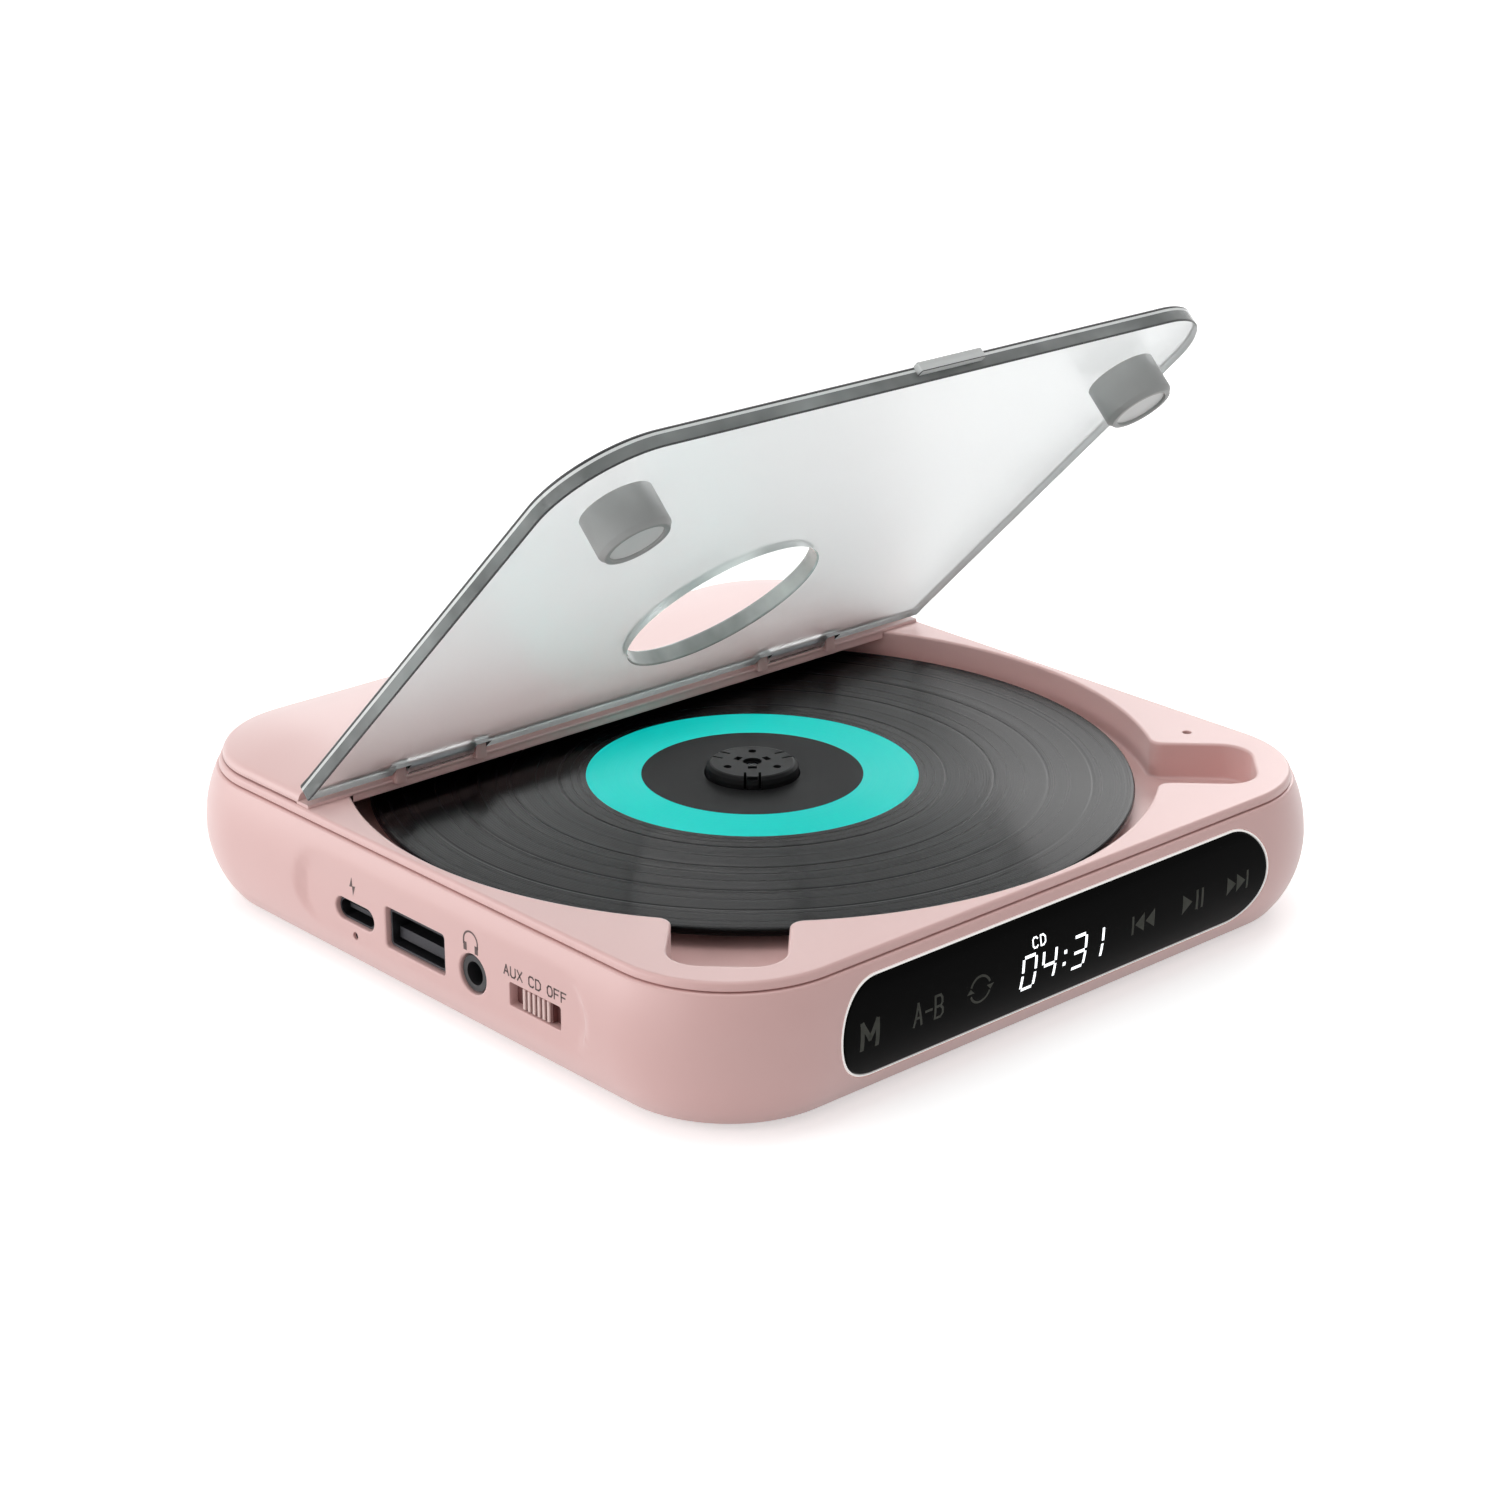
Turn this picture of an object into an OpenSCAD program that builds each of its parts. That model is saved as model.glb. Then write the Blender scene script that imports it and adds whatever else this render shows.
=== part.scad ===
// Wall mounted disc player with a clear half lid, opened as in use.
// The origin is the middle of the housing on the desk, X to the right seen from the
// display, Y to the back, Z up. The spindle stands on the Z axis.

/* [Housing] */
// Flat rim beside the disc, at the left and right
side_rim = 5; // [4.6:0.1:8]
// Flat rim beside the disc, at the front and back
end_rim = 4.8; // [4.6:0.1:8]
// Corner radius of the flat top
corner_r = 19.2; // [18.4:0.2:21]
// Height of the housing from its underside to the flat top
body_h = 22.2; // [22.2:0.2:26]
// How far the side walls swell past the edge of the flat top
bulge = 2.9; // [2.6:0.1:3.4]
// Depth of the widest point of the walls below the flat top
bulge_drop = 10.8; // [10.2:0.2:11.6]
// How far the walls tuck in at the underside
tuck = 1.5; // [1:0.1:2]
// Radius of the bottom edge
bottom_round = 1.6; // [1:0.1:2]
// Thickness of the case wall
wall = 2; // [1.8:0.1:2.2]
// Thickness of the base cover
base_t = 1.6; // [1.4:0.1:2]
// Height of the rubber feet below the base cover
foot_h = 0.8; // [0.5:0.1:1.2]
// Radius of the rubber feet
foot_r = 5; // [4:0.5:6]
// Width of the groove under the edge of the deck
seam = 0.25; // [0.2:0.05:0.35]

/* [Disc well] */
// Diameter of the disc
disc_d = 120; // [119:0.5:120]
// Thickness of the disc
disc_t = 1.2; // [1.1:0.1:1.3]
// Centre hole of the disc
disc_hole = 15; // [14.8:0.1:15.4]
// Depth of the disc's upper face below the flat top
disc_drop = 2.9; // [2.5:0.1:3.1]
// Gap between the disc and the wall of the well
well_gap = 3.6; // [2.6:0.1:3.6]
// Depth of the well
well_depth = 6; // [5.8:0.1:6.2]
// Thickness of the floor of the well
floor_t = 1.6; // [1.4:0.1:1.8]
// Thickness of the wall of the well
cup_wall = 0.9; // [0.8:0.05:0.95]
// Height of the deck's visible edge
rim_h = 1.5; // [1.3:0.1:1.8]
// Width of the finger notches
notch_w = 16.6; // [15:0.2:17]
// Radius of the corners at the end of a notch
notch_corner = 5; // [3:0.5:6]
// Fillet between a notch and the well
notch_fillet = 2.2; // [1:0.2:3]

/* [Lid] */
// Angle of the open lid above the flat top
lid_open = 45; // [0:1:80]
// Thickness of the clear plate
lid_t = 2.8; // [2.4:0.1:3]
// Gap under the closed lid
lid_gap = 0.8; // [0.7:0.1:1]
// Distance of the hinge axis in front of the disc's rear edge
hinge_in = 30.6; // [29:0.2:33]
// Radius of the lid's front corners
lid_corner = 14.5; // [10:0.5:18]
// How far the lid's front edge passes the flat top
lid_over = 0.6; // [0:0.1:1]
// Inset of the lid's sides from the flat top
lid_inset = 0.3; // [0.2:0.1:1]
// Radius of the round hole over the spindle
lid_hole_r = 16.8; // [14:0.2:18]
// Distance of that hole's centre in front of the spindle
lid_hole_y = 1.2; // [0:0.1:2]
// Width of the finger tab
tab_w = 13; // [8:0.5:20]
// Distance of the tab's middle to the right of the lid's middle
tab_x = 3.8; // [0:0.1:6]
// Length of the tab past the front edge
tab_out = 1.2; // [0.8:0.1:2]
// Distance of the posts from the wall of the well, along the diagonals
post_out = 8.5; // [7:0.1:9]
// Radius of the posts
post_r = 5.6; // [5:0.1:6]
// Gap between a post and the floor of its notch
post_gap = 0.2; // [0.1:0.1:0.4]

/* [Hinge] */
// Place of the left knuckle
knuckle_left = -40; // [-44:0.5:-30]
// Place of the right knuckle
knuckle_right = 35.5; // [30:0.5:44]
// Length of a knuckle
knuckle_len = 13; // [9:0.5:15]
// Radius of a knuckle
knuckle_r = 1.9; // [1.8:0.05:2]
// Radius of the hinge pins
hinge_pin_r = 0.75; // [0.6:0.05:0.9]
// Thickness of the ears that hold a pin
ear_t = 2; // [1.5:0.1:2.5]

/* [Rear cap] */
// Height of the domed cap above the flat top
cap_h = 4.8; // [4.4:0.1:5.5]
// How far the dome falls towards its edge
cap_fall = 3.3; // [3:0.1:3.6]
// Thickness of the cap
cap_t = 1.5; // [1.2:0.1:1.6]
// Shadow gap under the edge of the cap
cap_gap = 0.4; // [0.3:0.05:0.6]
// Radius of the cap's front edge
cap_front_r = 2.2; // [1:0.1:2.6]

/* [Display] */
// Distance of the display window from each side of the flat top
win_side = 20.2; // [19.4:0.2:26]
// Height of the display window
win_h = 15; // [14:0.1:15.4]
// Depth of the window's middle below the flat top
win_drop = 10.8; // [10.6:0.1:11]
// Width of the pale line round the window
trim_w = 0.5; // [0.4:0.1:0.8]
// Thickness of the window
glass_t = 1.3; // [1.1:0.1:1.4]

/* [Ports] */
// Depth of the row of ports below the flat top
port_drop = 12; // [11.9:0.1:12.1]
// Place of the charging socket along the side
usb_c_y = 14.4; // [13:0.1:15]
// Place of the memory stick socket along the side
usb_a_y = -0.5; // [-1.5:0.1:0.5]
// Place of the headphone jack along the side
jack_y = -14.2; // [-14.8:0.1:-13.8]
// Place of the slide switch along the side
switch_y = -28.4; // [-30:0.1:-28.2]
// Travel of the switch to each side of its middle place
switch_travel = 2.2; // [1.8:0.1:2.3]
// Length of the flat pad that the ports sit in
pad_len = 69; // [67:0.5:72]
// Depth of that pad in the swollen wall
pad_depth = 0.9; // [0.6:0.1:1]

/* [Disc drive] */
// Direction of the pickup's travel, from the right towards the back
sled_dir = 45; // [44:1:46]
// Radius on the disc that the pickup reads at rest
track_in = 24; // [24:0.5:25]
// Distance of the outermost track from the edge of the disc
track_edge = 4; // [4:0.5:8]
// Radius of the spindle motor
motor_r = 12; // [11:0.1:12]
// Module of the feed gears
gear_m = 0.5; // [0.5:0.01:0.5]
// Teeth of the large feed wheel
wheel_teeth = 36; // [36:1:36]
// Teeth of the small feed wheel on the same arbor
small_teeth = 14; // [14:1:14]
// Teeth of the pinion on the feed motor
pinion_teeth = 10; // [10:1:10]
// Length of the battery
battery_w = 44; // [36:1:44]
// Depth of the battery
battery_d = 29; // [24:1:29]
// Thickness of the battery
battery_t = 8; // [6:0.5:9]

/* [Hidden] */
$fn = 72;
slack = 0.15;          // gap round a piece that is set into another
run_fit = 0.04;        // radial clearance of a turning or sliding fit
seat_fit = 0.02;       // radial clearance of a fixed pin
over = 1;              // how far a cutter passes the face it cuts

top_z = foot_h + body_h;
bulge_z = top_z - bulge_drop;
part_z = top_z - rim_h;
top_w = disc_d + 2 * side_rim;
top_d = disc_d + 2 * end_rim;
well_z = top_z - well_depth;
floor_z = well_z - floor_t;
base_top = foot_h + base_t;
well_r = disc_d / 2 + well_gap;
cup_r = well_r + cup_wall;
corner_x = top_w / 2 - corner_r;
corner_y = top_d / 2 - corner_r;
side_x = top_w / 2 + bulge;
front_y = top_d / 2 + bulge;

// the two arcs of the wall's section meet at its widest point
upper_r = (bulge * bulge + bulge_drop * bulge_drop) / (2 * bulge);
lower_h = bulge_z - foot_h;
lower_in = bulge + tuck;
lower_r = (lower_in * lower_in + lower_h * lower_h) / (2 * lower_in);
widest_u = corner_r + bulge;
base_inset = tuck + 3;
flange_in = base_inset + 2.6;
flange_t = 1.4;

diagonal = (corner_x + corner_y) * cos(45);

disc_z = top_z - disc_drop - disc_t;
hub_top = disc_z + disc_t + 1.85;
hub_r = disc_hole / 2 - slack;
platter_t = 1.5;
platter_r = 13;
shaft_r = 1;

pivot_z = top_z + lid_gap + lid_t / 2;
hinge_y = disc_d / 2 - hinge_in;
lid_len = hinge_y + top_d / 2 + lid_over;
lid_w = top_w - 2 * lid_inset;
post_reach = well_r + post_out;
post_off = post_reach * cos(45);
post_h = pivot_z - lid_t / 2 - well_z - post_gap;
magnet_r = 4.2;
notch_reach = post_reach + post_r + 0.8;
ear_r = 1.75;
knuckles = [knuckle_left, knuckle_right];
ear_off = knuckle_len / 2 + 0.3 + ear_t / 2;
cap_front = hinge_y + lid_t / 2 + 0.2;
lip_front = hinge_y - 1;
lip_top = pivot_z - lid_t / 2 - 0.25;
lip_drop = 1.2;
cap_inset = 0.2;
cap_r = corner_r - cap_inset;
dome_r = (cap_r * cap_r + cap_fall * cap_fall) / (2 * cap_fall);
dome_v = top_z + cap_h - dome_r;
cap_edge_r = 1.6;

win_w = top_w - 2 * win_side;
win_z = top_z - win_drop;
port_z = top_z - port_drop;
usb_a_z = port_z + 0.6;
pad_x = side_x - pad_depth;
pad_h = 13.4;
pad_y = (usb_c_y + switch_y) / 2 + 0.85;
board_z = port_z - 3.8;
board_t = 1.2;
board_top = board_z + board_t;
board_x = side_x - 5.9;
board_w = 29;
board_y0 = switch_y - 19.6;
board_y1 = usb_c_y + 15.6;
socket_x = side_x - 1.6;

frame_t = 1.8;
frame_top = floor_z - 0.8;
frame_z = frame_top - frame_t;
motor_z = frame_z - 7.2;
rod_z = frame_z - 3.2;
rod_r = 1.5;
rod_w = 15;
rod_in = 8;
rod_out = diagonal + 3.37;
track_len = disc_d / 2 - track_edge - track_in;
sled_top = frame_z - 0.5;
sled_z = frame_z - 6.8;
sled_half = 9;
sled_w = 17.6;
lens_z = disc_z - 1.5;
turret_half = 8;
window_w = 9.8;
wheel_r = gear_m * wheel_teeth / 2;
small_r = gear_m * small_teeth / 2;
pinion_r = gear_m * pinion_teeth / 2;
rack_w = 18.9;
arbor_u = track_in + 14;
arbor_w = rack_w + small_r;
pinion_u = arbor_u + (wheel_r + pinion_r) * cos(45);
pinion_w = arbor_w + (wheel_r + pinion_r) * sin(45);
arbor_r = 1;
wheel_z = frame_z - 9.3;
wheel_t = 1.6;
feed_motor_r = 6;
damper_at = [[-13, -15.5], [-13, 15.5], [rod_out - 11, -22], [rod_out - 11, 22]];
damper_hole = 3;
battery_x = corner_x - battery_w / 2 + 8.2;
battery_y = battery_d / 2 - corner_y - 5.4;
display_y = corner_y + 17.4;
key_xs = [for (k = [-0.445, -0.316, -0.202, 0.183, 0.308, 0.42]) k * win_w];
key_z = top_z - 11.2;

pink = "#e3cbc8";
black = "#26262a";
steel = "#b9bcc0";
board_green = "#2f6b4a";

// ---------------------------------------------------------------- shared forms

// carries a section, drawn outwards from the corner centre, round a rounded rectangle
module sweep(w, d, r) {
    for (q = [0:3]) {
        sx = (q == 0 || q == 3) ? 1 : -1;
        sy = q < 2 ? 1 : -1;
        translate([sx * (w / 2 - r), sy * (d / 2 - r), 0]) rotate([0, 0, 90 * q]) {
            rotate_extrude(angle = 90) children();
            rotate([90, 0, 0]) linear_extrude(q % 2 == 0 ? d - 2 * r : w - 2 * r) children();
        }
    }
}

module core(w, d, r, z0, z1) {
    translate([r - w / 2, r - d / 2, z0]) cube([w - 2 * r, d - 2 * r, z1 - z0]);
}

module rounded_rect(w, d, r) {
    square([w - 2 * r, d], center = true);
    square([w, d - 2 * r], center = true);
    for (x = [-1, 1], y = [-1, 1]) translate([x * (w / 2 - r), y * (d / 2 - r)]) circle(r = r);
}

module stadium(w, h) {
    square([w - h, h], center = true);
    for (s = [-1, 1]) translate([s * (w - h) / 2, 0]) circle(d = h);
}

// section of the swollen wall, taken in by an inset
module wall_section(inset) {
    intersection() {
        translate([widest_u - upper_r, bulge_z]) circle(r = upper_r - inset);
        translate([0, bulge_z]) square([widest_u, bulge_drop]);
    }
    intersection() {
        translate([widest_u - lower_r, bulge_z]) circle(r = lower_r - inset);
        translate([0, foot_h]) square([widest_u, lower_h]);
    }
}

// what the rounding of the bottom edge takes off
module bottom_cutter() {
    cv = foot_h + bottom_round;
    cu = widest_u - lower_r + sqrt(pow(lower_r - bottom_round, 2) - pow(bulge_z - cv, 2));
    reach = lower_r / (lower_r - bottom_round);
    tu = widest_u - lower_r + (cu - widest_u + lower_r) * reach;
    tv = bulge_z + (cv - bulge_z) * reach;
    difference() {
        polygon([[cu, cv], [cu, foot_h - over], [cu + 2 * over + bottom_round * 2, foot_h - over],
            [cu + 2 * over + bottom_round * 2, tv], [tu, tv]]);
        translate([cu, cv]) circle(r = bottom_round);
    }
}

// the space inside the case as a solid, for cutting and clipping what follows the wall
module wall_solid(inset) {
    sweep(top_w, top_d, corner_r) wall_section(inset);
    core(top_w, top_d, corner_r, foot_h, top_z);
}

module front_prism(grow, y0, y1) {
    translate([0, -y0, win_z]) rotate([90, 0, 0])
        linear_extrude(y1 - y0) stadium(win_w + 2 * grow, win_h + 2 * grow);
}

// pieces of the drive are drawn along the pickup's travel and turned into place
module drive_place() {
    rotate([0, 0, sled_dir]) children();
}

// one gear outline: each tooth is an involute on both flanks
function involute(base, a) = [base * (cos(a) + a * PI / 180 * sin(a)),
    base * (sin(a) - a * PI / 180 * cos(a))];
function turn(p, a) = [p[0] * cos(a) - p[1] * sin(a), p[0] * sin(a) + p[1] * cos(a)];
function roll_at(base, r) = r <= base ? 0 : sqrt(r * r / (base * base) - 1) * 180 / PI;
function involute_angle(base, r) = let (p = involute(base, roll_at(base, r))) atan2(p[1], p[0]);

module gear_plan(teeth, backlash) {
    pitch = gear_m * teeth / 2;
    base = pitch * cos(20);
    tip = pitch + 0.8 * gear_m;
    root = pitch - 1.15 * gear_m;
    half = 90 / teeth - backlash / pitch * 90 / PI + involute_angle(base, pitch);
    flank = [for (k = [0:4]) let (r = max(root, base) + (tip - max(root, base)) * k / 4)
        [r, half - involute_angle(base, r)]];
    circle(r = root);
    for (t = [0:teeth - 1]) rotate(t * 360 / teeth)
        polygon(concat([[root * 0.9 * cos(half), -root * 0.9 * sin(half)]],
            [for (f = flank) [f[0] * cos(f[1]), -f[0] * sin(f[1])]],
            [for (k = [4:-1:0]) [flank[k][0] * cos(flank[k][1]), flank[k][0] * sin(flank[k][1])]],
            [[root * 0.9 * cos(half), root * 0.9 * sin(half)]]));
}

// ---------------------------------------------------------------- deck and case

// plan of a finger notch, drawn outwards along X from the spindle
module notch_plan() {
    half = notch_w / 2;
    fu = sqrt(pow(well_r + notch_fillet, 2) - pow(half + notch_fillet, 2));
    fv = half + notch_fillet;
    k = well_r / (well_r + notch_fillet);
    translate([0, -half]) square([notch_reach - notch_corner, notch_w]);
    translate([0, notch_corner - half]) square([notch_reach, notch_w - 2 * notch_corner]);
    for (s = [-1, 1]) {
        translate([notch_reach - notch_corner, s * (half - notch_corner)]) circle(r = notch_corner);
        difference() {
            polygon([[fu * k, s * fv * k], [fu, s * half], [fu * k - 2, s * (half - 1)],
                [fu * k - 2, s * fv * k]]);
            translate([fu, s * fv]) circle(r = notch_fillet);
        }
    }
}

// outside of the notch's cup
module notch_cup_plan() {
    reach = notch_reach + 1.2;
    half = notch_w / 2 + 1.2;
    r = notch_corner + 1.2;
    translate([0, -half]) square([reach - r, 2 * half]);
    translate([0, r - half]) square([reach, 2 * half - 2 * r]);
    for (s = [-1, 1]) translate([reach - r, s * (half - r)]) circle(r = r);
}

module at_notches() {
    for (a = [-135, -45]) rotate([0, 0, a]) children();
}

module deck_edge() {
    polygon([[0, part_z], [corner_r - 0.5, part_z], [corner_r - 0.5, part_z + seam],
        [corner_r + 0.45, part_z + seam], [corner_r + 0.25, top_z - 0.35],
        [corner_r, top_z - 0.1], [corner_r - 0.25, top_z], [0, top_z]]);
}

module base_screw_places() {
    for (s = [-1, 1]) {
        translate([s * (corner_x - 7.3), -corner_y - 11.4, 0]) children();
        translate([s * (corner_x + 5.7), corner_y + 5.9, 0]) children();
    }
}

module cap_screw_places() {
    for (s = [-1, 1]) {
        translate([s * (top_w / 2 - 5.7), corner_y - 6.6, 0]) children();
        translate([s * (corner_x - 7.8), top_d / 2 - 6, 0]) children();
    }
}

module top_deck() {
    color(pink) difference() {
        union() {
            sweep(top_w, top_d, corner_r) deck_edge();
            core(top_w, top_d, corner_r, part_z, top_z);
            translate([0, 0, floor_z]) linear_extrude(part_z - floor_z + 0.5) {
                circle(r = cup_r);
                for (a = [-135, -45]) rotate(a) notch_cup_plan();
            }
            base_screw_places() translate([0, 0, base_top]) cylinder(r = 3, h = part_z - base_top + 0.5);
            drive_place() for (p = damper_at) translate([p[0], p[1], frame_z - 1.2])
                cylinder(r = 1.6, h = floor_z - frame_z + 1.7);
            at_notches() translate([post_reach, 0, floor_z - 2.2]) difference() {
                cylinder(r = magnet_r + 1, h = 2.7);
                translate([0, 0, -over]) cylinder(r = magnet_r + seat_fit, h = 2.2 + over);
            }
        }
        translate([0, 0, well_z]) linear_extrude(well_depth + over) {
            circle(r = well_r);
            for (a = [-135, -45]) rotate(a) notch_plan();
        }
        translate([0, 0, floor_z - over]) cylinder(r = 6.5, h = floor_t + 2 * over);
        drive_place() translate([0, 0, floor_z - over]) linear_extrude(floor_t + 2 * over)
            translate([(track_in + track_in + track_len) / 2, 0])
            rounded_rect(track_len + 2 * turret_half - 2.4, 2 * window_w, 3);
        base_screw_places() translate([0, 0, base_top - over]) cylinder(r = 1.1, h = 9);
        drive_place() for (p = damper_at) translate([p[0], p[1], frame_z - 2.2])
            cylinder(r = 0.8, h = 3.4);
        cap_screw_places() translate([0, 0, part_z - over]) cylinder(r = 1.1, h = rim_h + 2 * over);
        sensor_place() translate([0, 0, part_z - over]) cylinder(r = 0.7, h = rim_h + 2 * over);
    }
}

module case_section() {
    difference() {
        intersection() {
            wall_section(0);
            square([widest_u + over, part_z]);
        }
        translate([0, base_top + flange_t]) intersection() {
            translate([0, -base_top - flange_t]) wall_section(wall);
            square([widest_u, top_z]);
        }
        square([corner_r - flange_in, top_z]);
        square([corner_r - base_inset, base_top]);
        bottom_cutter();
    }
}

module case_shell() {
    color(pink) difference() {
        sweep(top_w, top_d, corner_r) case_section();
        translate([0, 0, floor_z - 0.2]) cylinder(r = cup_r + 0.2, h = top_z);
        front_prism(trim_w + slack, top_d / 2 - 4, front_y + over);
        base_screw_places() translate([0, 0, base_top - over]) cylinder(r = 3.2, h = flange_t + 2 * over);
        side_pad();
        port_cuts();
    }
}

module side_pad() {
    translate([-pad_x, pad_y, port_z + 1.4]) rotate([90, 0, -90])
        linear_extrude(2 * bulge) stadium(pad_len, pad_h);
}

module port_prism() {
    rotate([90, 0, -90]) linear_extrude(wall + 3) children();
}

module port_cuts() {
    x = -side_x + wall + 1;
    translate([x, usb_c_y, port_z]) port_prism() stadium(9.6, 3.5);
    translate([x, usb_a_y, usb_a_z]) port_prism() rounded_rect(14.2, 6.5, 0.6);
    translate([x, jack_y, port_z]) port_prism() circle(r = 3.1);
    translate([x, switch_y, port_z]) port_prism() square([11.4, 3.6], center = true);
    translate([x, usb_c_y, port_z - 3.6]) port_prism() circle(r = 0.6);
}

module keyhole_plan() {
    circle(r = 4.2);
    translate([-2.1, 0]) square([4.2, 8]);
    translate([0, 8]) circle(r = 2.1);
}

module keyhole_places() {
    for (s = [-1, 1]) translate([s * (corner_x - 12.8), corner_y - 11.6, 0]) children();
}

module foot_places() {
    for (x = [-1, 1], y = [-1, 1]) translate([x * (corner_x + 0.2), y * (corner_y + 0.4), 0]) children();
}

module board_posts() {
    for (x = [7.2, board_w - 4], y = [board_y0 + 4, board_y1 - 4]) translate([x - board_x, y, 0])
        children();
}

module base_cover() {
    w = top_w - 2 * base_inset - 2 * slack;
    d = top_d - 2 * base_inset - 2 * slack;
    color(pink) difference() {
        union() {
            translate([0, 0, foot_h]) linear_extrude(base_t)
                rounded_rect(w, d, corner_r - base_inset - slack);
            board_posts() translate([0, 0, base_top]) cylinder(r = 2.6, h = board_z - base_top);
            keyhole_places() translate([0, 0, base_top]) linear_extrude(1.2) difference() {
                translate([-5.4, -5.4]) square([10.8, 17]);
                translate([-4.4, -4.4]) square([8.8, 15]);
            }
            translate([battery_x, battery_y, base_top]) linear_extrude(3) difference() {
                square([battery_w + 2.6, battery_d + 2.6], center = true);
                square([battery_w + 0.4, battery_d + 0.4], center = true);
                square([battery_w - 12, battery_d + 4], center = true);
                square([battery_w + 4, battery_d - 12], center = true);
            }
        }
        keyhole_places() translate([0, 0, foot_h - over]) linear_extrude(base_t + 2 * over) keyhole_plan();
        foot_places() translate([0, 0, foot_h - over]) cylinder(r = foot_r + seat_fit,
            h = over + base_t / 2);
        base_screw_places() translate([0, 0, foot_h - over]) {
            cylinder(r = 1.15, h = base_t + 2 * over);
            cylinder(r = 2.3, h = over + base_t / 2);
        }
        board_posts() translate([0, 0, board_z - 4]) cylinder(r = 0.95, h = 4 + over);
    }
}

module rubber_feet() {
    color("#4c4c50") foot_places() rotate_extrude()
        polygon([[0, 0], [foot_r - 0.5, 0], [foot_r - 0.15, 0.35],
            [foot_r, foot_h + base_t / 2], [0, foot_h + base_t / 2]]);
}

module base_screws() {
    color(steel) base_screw_places() difference() {
        union() {
            translate([0, 0, foot_h + 0.1]) cylinder(r = 2.1, h = base_t / 2 - 0.1);
            translate([0, 0, foot_h + base_t / 2]) cylinder(r = 1.08, h = 7);
        }
        translate([0, 0, foot_h]) linear_extrude(0.6) {
            square([2.6, 0.5], center = true);
            square([0.5, 2.6], center = true);
        }
    }
}

// ---------------------------------------------------------------- rear cap and hinge

module cap_section() {
    cu = cap_r - cap_edge_r;
    cv = dome_v + sqrt(pow(dome_r - cap_edge_r, 2) - cu * cu);
    reach = dome_r / (dome_r - cap_edge_r);
    difference() {
        intersection() {
            translate([0, dome_v]) circle(r = dome_r, $fn = 180);
            translate([0, top_z]) square([cap_r, cap_h + over]);
        }
        translate([cap_r - 1, top_z - over]) square([1 + over, cap_gap + over]);
        difference() {
            polygon([[cu, cv], [cu * reach, dome_v + (cv - dome_v) * reach],
                [cu * reach, top_z + cap_h], [cap_r + over, top_z + cap_h], [cap_r + over, cv]]);
            translate([cu, cv]) circle(r = cap_edge_r);
        }
    }
}

module cap_hollow_section() {
    intersection() {
        translate([0, dome_v]) circle(r = dome_r - cap_t, $fn = 180);
        translate([0, top_z - over]) square([cap_r - cap_t, cap_h + over]);
    }
}

// side view of the cap's front, with a rounded upper edge
module cap_front_prism() {
    rotate([90, 0, 90]) translate([0, 0, -top_w]) linear_extrude(2 * top_w) {
        translate([cap_front, top_z - over]) square([top_d, cap_h + over - cap_front_r]);
        translate([cap_front + cap_front_r, top_z]) square([top_d, cap_h + over]);
        translate([cap_front + cap_front_r, top_z + cap_h - cap_front_r]) circle(r = cap_front_r);
    }
}

module along_x(r, len) {
    rotate([0, 90, 0]) cylinder(r = r, h = len, center = true);
}

module rear_cap() {
    color("#ecdfdd") difference() {
        union() {
            intersection() {
                union() {
                    sweep(top_w - 2 * cap_inset, top_d - 2 * cap_inset, cap_r) cap_section();
                    core(top_w - 2 * cap_inset, top_d - 2 * cap_inset, cap_r, top_z, top_z + cap_h);
                }
                cap_front_prism();
            }
            translate([-top_w / 2 + cap_inset, lip_front, top_z])
                cube([top_w - 2 * cap_inset, cap_front - lip_front + cap_t, lip_top - top_z]);
            intersection() {
                translate([-top_w / 2, lip_front, top_z - lip_drop])
                    cube([top_w, cap_front - lip_front + cap_t, lip_drop + 0.2]);
                translate([0, 0, top_z - lip_drop]) cylinder(r = well_r - 0.4, h = lip_drop + over);
            }
            for (k = knuckles, s = [-1, 1]) translate([k + s * ear_off - ear_t / 2, hinge_y, 0])
                rotate([90, 0, 90]) linear_extrude(ear_t) {
                    translate([0, pivot_z]) circle(r = ear_r);
                    translate([-ear_r, top_z]) square([2 * ear_r, pivot_z - top_z]);
                }
        }
        intersection() {
            union() {
                sweep(top_w - 2 * cap_inset, top_d - 2 * cap_inset, cap_r) cap_hollow_section();
                core(top_w - 2 * cap_inset, top_d - 2 * cap_inset, cap_r, top_z - over,
                    top_z + cap_h - cap_t);
            }
            translate([-top_w / 2, cap_front + cap_t, top_z - over]) cube([top_w, top_d, cap_h + over]);
            cap_boss_gaps();
        }
        for (k = knuckles) translate([k, hinge_y, pivot_z]) {
            along_x(knuckle_r + 0.3, knuckle_len + 0.6);
            along_x(hinge_pin_r + seat_fit, knuckle_len + 0.6 + 2 * ear_t);
        }
        cap_screw_places() translate([0, 0, top_z - over]) cylinder(r = 0.85, h = over + 1.6);
    }
}

// the hollow of the cap leaves a boss round each of its screws
module cap_boss_gaps() {
    difference() {
        translate([-top_w, 0, 0]) cube([2 * top_w, top_d, 2 * top_z]);
        cap_screw_places() cylinder(r = 2.2, h = 2 * top_z);
    }
}

module cap_screws() {
    color(steel) cap_screw_places() {
        translate([0, 0, part_z]) cylinder(r = 0.83, h = rim_h + 1.4);
        translate([0, 0, part_z - 1.1]) difference() {
            cylinder(r = 1.8, h = 1.1);
            translate([0, 0, -over]) linear_extrude(over + 0.5) {
                square([2.2, 0.45], center = true);
                square([0.45, 2.2], center = true);
            }
        }
    }
}

module hinge_pins() {
    color(steel) for (k = knuckles) translate([k, hinge_y, pivot_z])
        along_x(hinge_pin_r, knuckle_len + 0.6 + 2 * ear_t - 0.2);
}

// ---------------------------------------------------------------- lid

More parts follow.
